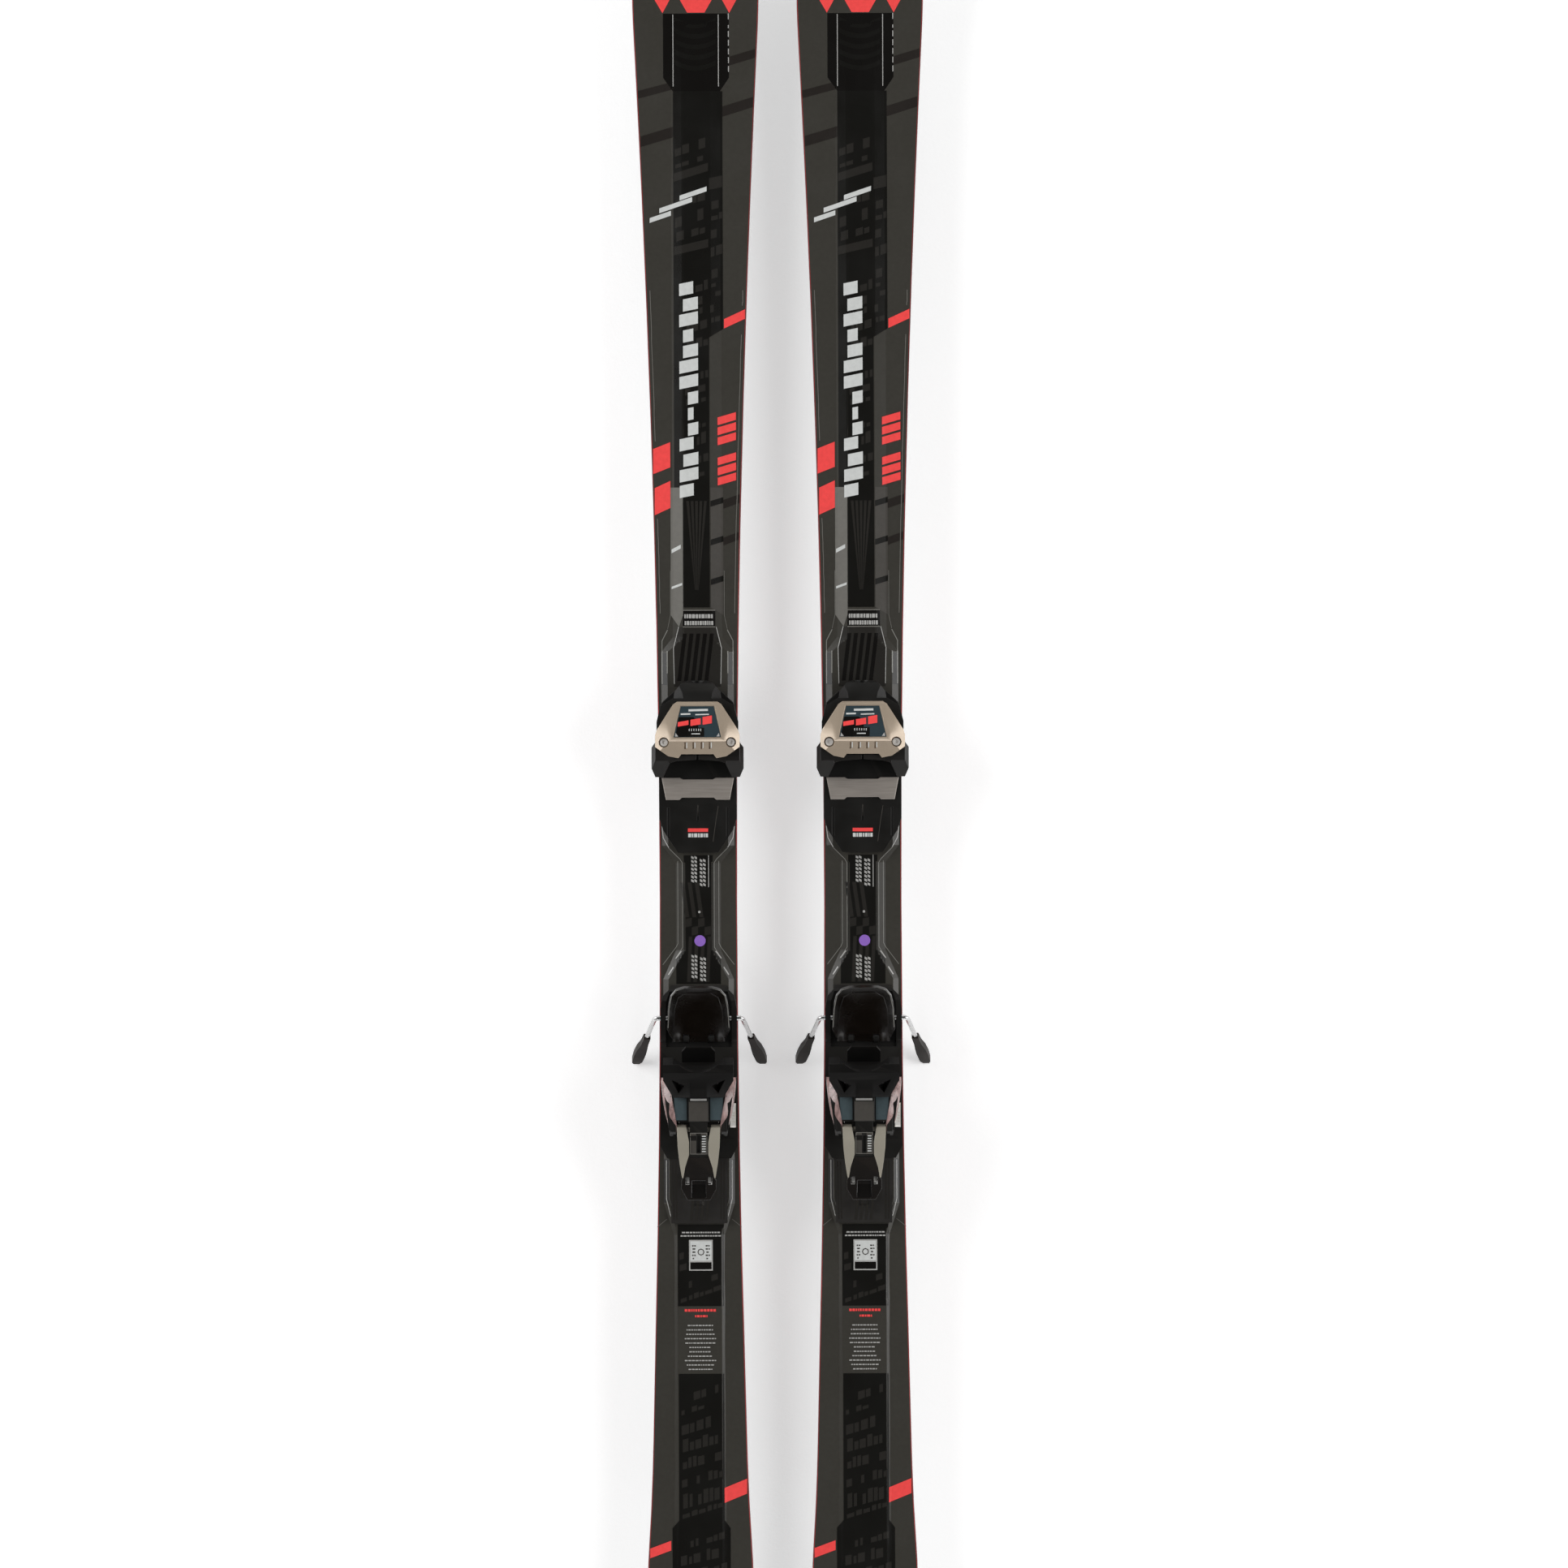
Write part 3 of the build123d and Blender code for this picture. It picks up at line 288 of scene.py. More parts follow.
PRINTS = {
    "black": printed("print_black", srgb(15, 14, 11), 0.3),
    "deep": printed("print_deep", srgb(13, 11, 9), 0.24),
    "shade": printed("print_shade", srgb(36, 32, 29), 0.32),
    "ghost": printed("print_ghost", srgb(38, 36, 33), 0.3),
    "grey": printed("print_grey", srgb(70, 67, 63), 0.34),
    "light": printed("print_light", srgb(112, 110, 105), 0.32),
    "line": printed("print_line", srgb(128, 127, 122), 0.22),
    "silver": printed("print_silver", srgb(172, 171, 168), 0.28),
    "red": printed("print_red", srgb(246, 78, 77), 0.3),
    "white": printed("print_white", srgb(206, 208, 206), 0.3),
    "teal": printed("print_teal", srgb(46, 60, 66), 0.16, 0.7),
    "slate": printed("print_slate", srgb(66, 78, 82), 0.2, 0.6),
    "purple": printed("print_purple", srgb(146, 106, 196), 0.35),
}


def repaint_nodes():
    """Gives every CAD node the finish of its record slot."""
    slots = {entry["node"]: entry["material_slot"] for entry in frame["record"]["subparts"]}
    for name, node in NODES.items():
        node.data.materials.clear()
        node.data.materials.append(SLOT_MATERIALS[slots[name]])
    return slots


SLOT_OF = repaint_nodes()


# --- building pieces -----------------------------------------------------------------------------
SHARP_ANGLE = math.radians(26)
FLAT_ANGLE = math.radians(0.6)
WELD = 2e-6


def add_piece(name, mesh, body, material):
    """Links a finished mesh as a piece that rides on a body."""
    piece = bpy.data.objects.new(name, mesh)
    bpy.context.scene.collection.objects.link(piece)
    mesh.materials.clear()
    mesh.materials.append(material)
    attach(piece, body)
    return piece


def bevelled(mesh, width, segments=3):
    """The mesh with its sharp edges rounded to that width, smooth shaded."""
    work = bpy.data.objects.new("work", mesh)
    bpy.context.scene.collection.objects.link(work)
    for polygon in mesh.polygons:
        polygon.use_smooth = True
    bevel = work.modifiers.new("edges", "BEVEL")
    bevel.width = width
    bevel.segments = segments
    bevel.limit_method = "ANGLE"
    bevel.angle_limit = SHARP_ANGLE
    bevel.use_clamp_overlap = True
    bevel.harden_normals = True
    bevel.miter_outer = "MITER_ARC"
    graph = bpy.context.evaluated_depsgraph_get()
    done = bpy.data.meshes.new_from_object(work.evaluated_get(graph))
    bpy.data.objects.remove(work)
    return done


def joined_mesh(source):
    """A copy of a CAD node's mesh with its faces joined up and its flat triangles merged."""
    mesh = source.data.copy()
    if mesh.has_custom_normals:
        mesh.attributes.remove(mesh.attributes["custom_normal"])
    build = bmesh.new()
    build.from_mesh(mesh)
    bmesh.ops.remove_doubles(build, verts=build.verts, dist=WELD)
    bmesh.ops.dissolve_limit(build, angle_limit=FLAT_ANGLE, verts=build.verts, edges=build.edges)
    build.to_mesh(mesh)
    build.free()
    return mesh


def soften(node, width, finish=None):
    """Shows a CAD node with rounded edges, in its slot's finish unless another is given."""
    source = NODES[node]
    mesh = bevelled(joined_mesh(source), width)
    finish = finish or SLOT_MATERIALS[SLOT_OF[node]]
    piece = add_piece(f"{node}_moulded", mesh, source["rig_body"], finish)
    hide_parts(node)


# --- thin films on the CAD surfaces --------------------------------------------------------------
SKY = 1.0
FILM = 0.10 * MM
LAYER = 0.12 * MM
STEP_X = 2.5 * MM
STEP_Y = 12 * MM
# Stretches where the ridge of the topsheet changes width, and the finer step that a film takes there.
CREASES = ((108, 132), (-110, -84), (-230, -192), (-494, -454))
CREASE_STEP = 2 * MM
SAME_POINT = 1e-6
PULLED_IN = 0.985


class Surface:
    """The top of some CAD nodes, as something that flat shapes can be laid on."""

    def __init__(self, *nodes):
        verts, faces = [], []
        for node in nodes:
            mesh = NODES[node].data
            start = len(verts)
            verts += [v.co.copy() for v in mesh.vertices]
            faces += [[start + i for i in p.vertices] for p in mesh.polygons]
        self.tree = BVHTree.FromPolygons(verts, faces)

    def height(self, x, y):
        """The surface's z at a place, or None beside it."""
        hit = self.tree.ray_cast(Vector((x, y, SKY)), Vector((0, 0, -1)))[0]
        return None if hit is None else hit.z


TOPS = {ski: Surface(f"{ski}_ski_topsheet") for ski in SKIS}


def multiples(step, low, high):
    """The multiples of step between low and high."""
    return {k * step for k in range(math.ceil(low / step), math.floor(high / step) + 1)}


def cut_places(axis, low, high):
    """Where a film is cut across one axis so that it can follow the surface."""
    places = multiples(STEP_Y if axis else STEP_X, low, high)
    if axis:
        for start, end in CREASES:
            places |= multiples(CREASE_STEP, max(low, start * MM), min(high, end * MM))
    return sorted(places)


def cut_grid(sheet, centre):
    """Cuts a flat sheet into a grid fine enough to bend."""
    for axis, normal, origin in ((0, Vector((1, 0, 0)), centre), (1, Vector((0, 1, 0)), 0)):
        spread = [v.co[axis] - origin for v in sheet.verts]
        for place in cut_places(axis, min(spread), max(spread)):
            geometry = sheet.verts[:] + sheet.edges[:] + sheet.faces[:]
            bmesh.ops.bisect_plane(sheet, geom=geometry, plane_co=normal * (place + origin),
                                   plane_no=normal, dist=SAME_POINT)
    bmesh.ops.remove_doubles(sheet, verts=sheet.verts, dist=SAME_POINT)


def drop_onto(sheet, surface, centre, lift):
    """Lowers a flat sheet to that lift above the surface; a point just off the surface is read further in."""
    last_height = None
    for vert in sheet.verts:
        height = surface.height(vert.co.x, vert.co.y)
        if height is None:
            inward = centre + (vert.co.x - centre) * PULLED_IN
            height = surface.height(inward, vert.co.y) or last_height or 0
        last_height = height
        vert.co.z = height + lift


def drape(shapes, surface, centre, lift, film=FILM):
    """A mesh of thin films, one for each outline of (x, y) millimetres, laid on the surface."""
    build = bmesh.new()
    for outline in shapes:
        sheet = bmesh.new()
        sheet.faces.new([sheet.verts.new((centre + x * MM, y * MM, 0)) for x, y in outline])
        cut_grid(sheet, centre)
        drop_onto(sheet, surface, centre, lift)
        bmesh.ops.recalc_face_normals(sheet, faces=sheet.faces)
        if sum(face.normal.z for face in sheet.faces) < 0:
            bmesh.ops.reverse_faces(sheet, faces=sheet.faces)
        close_film(sheet, film)
        holder = bpy.data.meshes.new("shape")
        sheet.to_mesh(holder)
        sheet.free()
        build.from_mesh(holder)
        bpy.data.meshes.remove(holder)
    mesh = bpy.data.meshes.new("print")
    build.to_mesh(mesh)
    build.free()
    for polygon in mesh.polygons:
        polygon.use_smooth = False
    return mesh


def close_film(sheet, film):
    """Turns an open sheet into a thin closed film, film deep."""
    rim = [edge for edge in sheet.edges if edge.is_boundary]
    copy = bmesh.ops.duplicate(sheet, geom=sheet.verts[:] + sheet.edges[:] + sheet.faces[:])
    twin = copy["vert_map"]
    low_faces = [item for item in copy["geom"] if isinstance(item, bmesh.types.BMFace)]
    for vert in {v for face in low_faces for v in face.verts}:
        vert.co.z -= film
    bmesh.ops.reverse_faces(sheet, faces=low_faces)
    for edge in rim:
        a, b = edge.verts
        sheet.faces.new((a, b, twin[b], twin[a]))
    bmesh.ops.recalc_face_normals(sheet, faces=sheet.faces)


def lay_on(name, ski, nodes, body, ink, shapes, lift, film=FILM):
    """Adds thin shapes laid on the top of some CAD nodes."""
    mesh = drape(shapes, Surface(*nodes), CENTRE[ski], lift, film)
    add_piece(f"{ski}_{name}", mesh, body, PRINTS[ink])


# --- outlines in millimetres ---------------------------------------------------------------------
MITRE_LIMIT = 0.4
RAY_SHARE = 0.56
CHECKER_TALL, CHECKER_RISE = 1.3, 0.2
LADDER_RAIL, LADDER_FILL = 0.44, 0.6
# Random ranges, in millimetres or as shares.
GHOST_FILLED = 0.74
GHOST_SLOPE = (0.22, 0.34)
GHOST_WIDE = (2.5, 8.0)
GHOST_TALL = (0.6, 1.0)
GHOST_GAP = (0.9, 2.2)
GHOST_ROW_GAP = (3, 9)
SLAT_STARTS = (0, 0, 0.2, 0.45)
SLAT_ENDS = (0, 0, 0.25)
DASH_WIDE = (1.2, 3.4)
DASH_GAP, DASH_LEAST = 0.7, 0.6


def flat(groups):
    """The shapes of several groups in one list."""
    return [shape for group in groups for shape in group]


def slanted(x0, x1, y0, y1, rise):
    """A bar from x0 to x1 whose ends are upright and whose long sides climb by rise."""
    return [(x0, y0), (x1, y0 + rise), (x1, y1 + rise), (x0, y1)]


def bar(x0, x1, y0, y1):
    """An upright rectangle."""
    return [(x0, y0), (x1, y0), (x1, y1), (x0, y1)]


def disc(x, y, radius, points=28):
    """A round shape."""
    turn = 2 * math.pi / points
    return [(x + radius * math.cos(turn * i), y + radius * math.sin(turn * i)) for i in range(points)]


def stroke(points, width):
    """A line of that width through the points, as one outline per run, mitred at the corners."""
    points = [Vector(point) for point in points]
    runs = [(b - a).normalized() for a, b in zip(points, points[1:])]
    sides = []
    for i, point in enumerate(points):
        before, after = runs[max(i - 1, 0)], runs[min(i, len(runs) - 1)]
        middle = (before + after).normalized()
        reach = width / 2 / max(MITRE_LIMIT, middle.dot(after))
        across = Vector((-middle.y, middle.x)) * reach
        sides.append((point + across, point - across))
    return [[tuple(a[0]), tuple(b[0]), tuple(b[1]), tuple(a[1])] for a, b in zip(sides, sides[1:])]


def mirrored(shapes):
    """The shapes and their mirror images about the ski's centre line."""
    return shapes + [[(-x, y) for x, y in reversed(shape)] for shape in shapes]


def ghost_pattern(seed, x0, x1, y0, y1, low=4, high=13):
    """Rows of broken slanted blocks, as in the tone-on-tone print down the middle of the ski."""
    dice = random.Random(seed)
    blocks = []
    y = y0
    while y < y1 - high:
        tall = dice.uniform(low, high)
        slope = dice.uniform(*GHOST_SLOPE)
        x = x0 + dice.uniform(0, 2)
        while x < x1 - 3:
            right = min(x + dice.uniform(*GHOST_WIDE), x1)
            if dice.random() < GHOST_FILLED:
                foot = y + (x - x0) * slope
                top = foot + tall * dice.uniform(*GHOST_TALL)
                blocks.append(slanted(x, right, foot, top, (right - x) * slope))
            x = right + dice.uniform(*GHOST_GAP)
        y += tall + dice.uniform(*GHOST_ROW_GAP)
    return blocks


def rays(x0, x1, y0, y1, count, lean):
    """Long dark rays side by side, each leaning by that much over its length."""
    pitch = (x1 - x0) / count
    shapes = []
    for i in range(count):
        left, right = x0 + i * pitch, x0 + (i + RAY_SHARE) * pitch
        shapes.append([(left, y0), (right, y0), (right + lean, y1), (left + lean, y1)])
    return shapes


def starburst(x, y0, y1):
    """Thin wedges that open out towards y1 from a narrow foot at y0."""
    foot_pitch, head_pitch = 0.8, 4.6
    foot_half, head_half = 0.3, 1.5
    spokes = []
    for i in range(-2, 3):
        foot, head = x + foot_pitch * i, x + head_pitch * i
        spokes.append([(foot - foot_half, y0), (foot + foot_half, y0),
                       (head + head_half, y1), (head - head_half, y1)])
    return spokes


def checkers(x0, y0, size, columns, rows):
    """Every second cell of a grid of slanted blocks."""
    cells = []
    for i in range(columns):
        for j in range(rows):
            if (i + j) % 2:
                x, y = x0 + i * size, y0 + j * size * CHECKER_TALL
                cells.append(slanted(x, x + size, y, y + size * CHECKER_TALL, size * CHECKER_RISE))
    return cells


def slat_column(x0, x1, y0, y1, count, lean, gap):
    """A column of slanted slats of unequal length: the generic stand-in for upright lettering."""
    pitch = (y1 - y0) / count
    dice = random.Random(count)
    slats = []
    for i in range(count):
        low = y0 + i * pitch
        start = x0 + (x1 - x0) * dice.choice(SLAT_STARTS)
        end = x1 - (x1 - x0) * dice.choice(SLAT_ENDS)
        slats.append(slanted(start, end, low, low + pitch - gap, lean * (end - start)))
    return slats


def ladder(x0, x1, y0, y1, count, lean):
    """Two even rails of short dashes side by side: the stand-in for small upright lettering."""
    pitch = (y1 - y0) / count
    half = (x1 - x0) * LADDER_RAIL
    dashes = []
    for i in range(count):
        low = y0 + i * pitch
        for start in (x0, x1 - half):
            dashes.append(slanted(start, start + half, low, low + pitch * LADDER_FILL, lean * half))
    return dashes


def tick_lines(x0, x1, y0, y1, rows, seed, height=1.1, least=0.6):
    """Rows of short dashes, standing in for small print."""
    dice = random.Random(seed)
    pitch = (y1 - y0) / rows
    middle = (x0 + x1) / 2
    dashes = []
    for row in range(rows):
        half = (x1 - x0) / 2 * dice.uniform(least, 1.0)
        x = middle - half
        while x < middle + half:
            wide = dice.uniform(*DASH_WIDE)
            right = min(x + wide, middle + half)
            if right - x > DASH_LEAST:
                low = y0 + row * pitch
                dashes.append(bar(x, right, low, low + height))
            x += wide + DASH_GAP
    return dashes


# --- the printed skis ----------------------------------------------------------------------------
SURELY_ON = 30.0
FEELER = 0.5
EDGE_CLEARANCE = 0.3
# The painted highlight lines along the ski's edges: their width and how many runs each follows.
EDGE_GLINT_WIDTH = 0.7
EDGE_GLINT_RUNS = 12
LEFT, RIGHT = -1, 1


def edge_x(ski, y, inset=0.0):
    """How far from the centre line the topsheet reaches at y, in millimetres, less the inset."""
    x = SURELY_ON
    while TOPS[ski].height(CENTRE[ski] + (x + FEELER) * MM, y * MM) is not None:
        x += FEELER
    return x - inset


def band_to_edge(ski, side, inner, y_inner, y_outer, tall):
    """A slanted band from the inner x out to the ski's edge on one side."""
    outer = side * edge_x(ski, y_outer + tall / 2, EDGE_CLEARANCE)
    return [(inner, y_inner), (outer, y_outer), (outer, y_outer + tall), (inner, y_inner + tall)]


def edge_glint(ski, side, y0, y1, inset):
    """A painted highlight line that follows the ski's edge."""
    heights = [y0 + (y1 - y0) * i / EDGE_GLINT_RUNS for i in range(EDGE_GLINT_RUNS + 1)]
    return stroke([(side * edge_x(ski, y, inset), y) for y in heights], EDGE_GLINT_WIDTH)


TIP_CROWN = [
    [(-8.5, 773), (9.5, 773), (17, 786), (24, 815), (13, 838), (-13, 838), (-24, 815), (-16, 786)],
    [(-34, 772.5), (-25.5, 788), (-27, 806), (-45, 822), (-48, 796)],
    [(35, 772.5), (48, 796), (45, 822), (27, 806), (26.5, 788)],
]
TIP_PANEL = [(-33.5, 772), (34.5, 772), (34.5, 706), (25, 692), (-23.5, 692), (-33.5, 706)]
FRONT_STRIP = [
    (-23.5, 692), (27.5, 692), (27.5, 446), (13, 437), (13, 158), (-14.2, 158), (-14.2, 280), (-23.5, 280),
]
LEFT_STRIP = [(-27.4, 282), (-14.8, 282), (-14.8, 150), (-19, 138), (-27.4, 150)]
RIGHT_STRIP = [(14, 282), (27, 282), (27, 150), (14, 158)]
TOE_CHANNEL = [(-19, 138), (19, 138), (24, 116), (24, 76), (-24, 76), (-24, 116)]
WAIST_CHANNEL = [
    (-15, -98), (15, -98), (15, -196), (23, -206), (23, -231), (-23, -231), (-23, -206), (-15, -196),
]
TAIL_STRIP = [(-22.5, -479.5), (25, -479.5), (25, -564), (-22.5, -564)]
TAIL_PANEL = [
    (-22, -634), (25, -634), (25, -786), (31, -794), (31, -856), (-29, -856), (-29, -794), (-22, -786),
]
ARC_COUNT, ARC_FOOT, ARC_PITCH, ARC_TALL = 5, 713, 11, 5
ARC_BEND, ARC_RUN = 0.014, 6


def chevrons():
    """Nested black arcs on the black panel."""
    arcs = []
    for i in range(ARC_COUNT):
        low = ARC_FOOT + ARC_PITCH * i
        for x in range(-21, 20, ARC_RUN):
            a, b = ARC_BEND * x * x, ARC_BEND * (x + ARC_RUN) ** 2
            arcs.append([(x, low + a), (x + ARC_RUN, low + b), (x + ARC_RUN, low + b + ARC_TALL),
                         (x, low + a + ARC_TALL)])
    return arcs


def ring(x, y, radius, width):
    """An eight-sided ring."""
    turn = math.pi / 4
    corners = [(x + radius * math.cos(t * turn), y + radius * math.sin(t * turn)) for t in range(9)]
    return stroke(corners, width)


# Each of the next functions lists printed shapes as name, ink, layer and outlines.
def tip_prints():
    """The red crown at the tip and the panel behind it."""
    return [
        ("tip_crown", "red", 1, TIP_CROWN),
        ("tip_panel", "deep", 1, [TIP_PANEL]),
        ("tip_chevrons", "black", 2, chevrons()),
        ("tip_lines", "silver", 2, [bar(-23.7, -22.9, 697, 771), bar(23.2, 24.0, 697, 771)]),
        ("tip_broken_line", "silver", 2, [bar(33.6, 34.5, y, y + 6) for y in range(712, 768, 9)]),
    ]


def front_prints(ski):
    """From the tip panel back to the toe piece: stripes, the long strip, the blocks and painted highlights
    along the edges.
    """
    stripes = [
        band_to_edge(ski, LEFT, -23.5, 694, 684.5, 8), band_to_edge(ski, LEFT, -23.5, 644.5, 634.5, 11),
        band_to_edge(ski, RIGHT, 34.5, 718.5, 726.5, 9), band_to_edge(ski, RIGHT, 25.5, 665, 675.5, 10.5),
        band_to_edge(ski, RIGHT, 27, 260, 266, 9), band_to_edge(ski, RIGHT, 27, 222, 228, 8),
    ]
    ghosts = [
        slanted(-23, 12.5, 598.5, 607, 11), slanted(-23, 12.5, 522.5, 531, 8), slanted(13.5, 27, 590, 602, 3),
    ]
    ghosts += ghost_pattern(3, -22, 12, 612, 650) + ghost_pattern(5, -22, 12, 536, 588)
    ghosts += ghost_pattern(6, 14, 27, 520, 584) + ghost_pattern(7, 14, 27, 452, 516)
    ghosts += ghost_pattern(4, -12, 12, 290, 500)
    mark = [
        slanted(-48, -26, 556, 561, 7.5), slanted(-38, -4, 566, 571, 11.5), slanted(-17, 11, 579, 584, 9.5),
    ]
    red_bars = [
        band_to_edge(ski, RIGHT, 28.5, 446.5, 456.5, 9.7),
        band_to_edge(ski, LEFT, -27.5, 303, 296, 26), band_to_edge(ski, LEFT, -27.5, 261, 253.5, 28),
    ]
    size_block = [slanted(21.5, 40.5, 284 + 10.4 * i, 292 + 10.4 * i, 5.5) for i in (0, 1, 2, 4, 5, 6)]
    # Painted highlights: light lines along both edges of the ski.
    edge_glints = edge_glint(ski, LEFT, 486, 330, 3) + edge_glint(ski, LEFT, 250, 152, 3)
    edge_glints += edge_glint(ski, RIGHT, 486, 470, 3) + edge_glint(ski, RIGHT, 440, 152, 3)
    return [
        ("side_stripes", "shade", 1, stripes),
        ("front_strip", "black", 1, [FRONT_STRIP]),
        ("front_ghost", "ghost", 2, ghosts),
        ("front_rays", "ghost", 3, starburst(-0.5, 176, 268)),
        ("front_mark", "white", 3, mark),
        ("front_column", "white", 3, slat_column(-17.8, 1.6, 271, 496, 14, 0.2, 3.4)),
        ("red_bars", "red", 2, red_bars),
        ("size_block", "red", 3, size_block),
        ("right_strip", "grey", 1, [RIGHT_STRIP]),
        ("right_slashes", "black", 2, [slanted(14, 27, y, y + 6, 4) for y in (262, 222, 181)]),
        ("left_strip", "light", 2, [LEFT_STRIP]),
        ("left_strip_marks", "white", 3,
         [slanted(-26.5, -15.6, 177, 179.5, 4), slanted(-26.5, -17, 214, 218, 5)]),
        ("edge_glints", "light", 2, edge_glints),
    ]


def binding_prints():
    """The channels and small marks in front of, between and beside the bindings, and painted shade on the
    shelf flanks.
    """
    waist_rays = rays(-13.5, 8.5, -162, -126, 3, -5) + checkers(-13.5, -181, 6.6, 4, 2)
    waist_rays += rays(-12, 14, -229, -182, 4, 2)
    waist_marks = ladder(-7.3, -1.3, -125, -97, 7, -0.5) + ladder(1.6, 7.6, -129, -100, 7, -0.5)
    waist_marks += ladder(-7.3, -1.3, -224, -199, 6, -0.5) + ladder(1.6, 7.6, -227, -201.5, 6, -0.5)
    waist_marks += [bar(10.3, 11, -131, -98)]
    return [
        # Painted shade: a black film that darkens the sloped flanks of the toe and heel shelves.
        ("shelf_flank_shade", "black", 1, mirrored([bar(31.2, 37.2, 78, 111), bar(31.2, 36.6, -457, -412)])),
        ("toe_channel", "ghost", 1, [TOE_CHANNEL]),
        ("toe_channel_rays", "deep", 2, rays(-21, 14, 82, 131, 5, 6)),
        ("front_label", "deep", 2, [bar(-15, 18.5, 138, 155)]),
        ("front_label_lines", "light", 3, [bar(-15, 18.5, 154.6, 155.6), bar(-15, 18.5, 137.4, 138.4)]),
        ("front_label_marks", "silver", 3, tick_lines(-13.6, 17.2, 139.8, 153.8, 2, 7, 4.2, 0.96)),
        ("waist_channel", "black", 1, [WAIST_CHANNEL]),
        ("waist_rays", "ghost", 2, waist_rays),
        ("waist_marks", "silver", 3, waist_marks),
        ("waist_dot", "silver", 3, [disc(1, -156.6, 1.3, 12)]),
        ("round_sticker", "purple", 3, [disc(1.6, -186.4, 5.8)]),
    ]


def outline_prints():
    """Lines that trace the ridge and the binding platforms, the same on both sides."""
    outline = [
        stroke([(-30.8, 135), (-36.7, 123.5), (-36.7, 79)], 0.9),
        stroke([(-31.3, 113), (-31.3, 90)], 1.1),
        stroke([(-30.5, -90.5), (-18.9, -102), (-16.4, -106), (-16.4, -193), (-24, -205)], 0.6),
        stroke([(-21.2, -104), (-21.2, -189), (-23.2, -193), (-36.9, -211)], 0.6),
    ]
    bright = [
        stroke([(-19.4, 138), (-24.8, 116), (-24, 79)], 0.7),
        stroke([(-17.8, -197), (-23.4, -204.4)], 1.0),
        stroke([(-26, -213.5), (-31.2, -221.5)], 1.2),
        stroke([(-34, -413), (-34, -453), (-29.6, -471)], 0.7),
    ]
    # The toe base slides over this one, 0.3 mm above the topsheet, so it lies in a lower layer.
    under_toe = stroke([(-37.6, -68), (-36, -80), (-30.5, -90)], 0.8)
    fine = [
        stroke([(-31, -413), (-31, -452), (-27.4, -466)], 0.5),
        stroke([(-33.6, -474), (-43.6, -482)], 0.5),
        stroke([(-27.8, 196), (-27.8, 150), (-30.8, 136)], 0.5),
    ]
    return [
        ("outline", "line", 2, flat(mirrored(group) for group in outline)),
        ("outline_bright", "silver", 3, flat(mirrored(group) for group in bright)),
        ("outline_under_toe", "silver", 2, mirrored(under_toe)),
        ("outline_fine", "light", 2, flat(mirrored(group) for group in fine)),
    ]


def tail_prints(ski):
    """From the heel piece to the tail: strip, sticker, small print and the end panel."""
    strip_ghost = ghost_pattern(8, -20, 22, -561, -528) + ghost_pattern(9, -21, -12, -528, -498)
    strip_ghost += ghost_pattern(10, 15, 23, -528, -498)
    sticker_marks = ring(1.4, -508, 3.1, 0.9) + tick_lines(-8, -3.6, -515.4, -499, 5, 31, 1.5)
    sticker_marks += tick_lines(6.2, 10.8, -515.4, -499, 5, 32, 1.5)
    red_marks = tick_lines(-20, 22, -569.6, -566.4, 1, 12, 2.6)
    red_marks += tick_lines(-5, 8, -575.4, -572.4, 1, 15, 2.2)
    panel_ghost = ghost_pattern(14, -20, 23, -785, -640, 5, 16) + ghost_pattern(15, -26, 28, -853, -800)
    red_bars = [
        band_to_edge(ski, RIGHT, 25, -768, -758.5, 15.5), band_to_edge(ski, LEFT, -30.5, -817, -825, 10),
    ]
    return [
        ("tail_strip", "black", 1, [TAIL_STRIP]),
        ("tail_strip_ghost", "ghost", 2, strip_ghost),
        ("tail_small_print", "silver", 3, tick_lines(-21.5, 24.4, -492, -485, 2, 11, 1.5, 0.85)),
        ("tail_sticker", "silver", 3, [bar(-10.9, 13.6, -527.2, -495.4)]),
        ("tail_sticker_field", "white", 4, [bar(-9.6, 12.3, -517, -496.8)]),
        ("tail_sticker_marks", "grey", 5, sticker_marks),
        ("tail_sticker_foot", "deep", 4, [bar(-9.6, 12.3, -525.9, -518.6)]),
        ("tail_red_marks", "red", 2, red_marks),
        ("tail_print", "silver", 2, tick_lines(-17, 18, -630, -580, 11, 13, 1.2)),
        ("tail_panel", "black", 1, [TAIL_PANEL]),
        ("tail_panel_ghost", "ghost", 2, panel_ghost),
        ("tail_red_bars", "red", 2, red_bars),
    ]


def print_ski(ski):
    """Lays every print of one ski on its topsheet."""
    prints = tip_prints() + front_prints(ski) + binding_prints() + outline_prints() + tail_prints(ski)
    for name, ink, layer, shapes in prints:
        mesh = drape(shapes, TOPS[ski], CENTRE[ski], layer * LAYER)
        add_piece(f"{ski}_print_{name}", mesh, f"{ski}_ski", PRINTS[ink])


def print_track(ski):
    """The same pattern carried on over the open rear end of the heel track."""
    shapes = rays(-27, -21, -474, -414, 2, -1) + rays(21.5, 27.5, -474, -414, 2, 0.5)
    shapes += rays(-10, 11, -475, -455, 4, 2)
    shapes += rays(-19, -12, -452, -414, 2, 1) + rays(13, 20, -452, -414, 2, -1)
    track = [f"{ski}_ski_binding_tracks"]
    lay_on("print_track", ski, track, f"{ski}_ski", "ghost", shapes, LAYER)


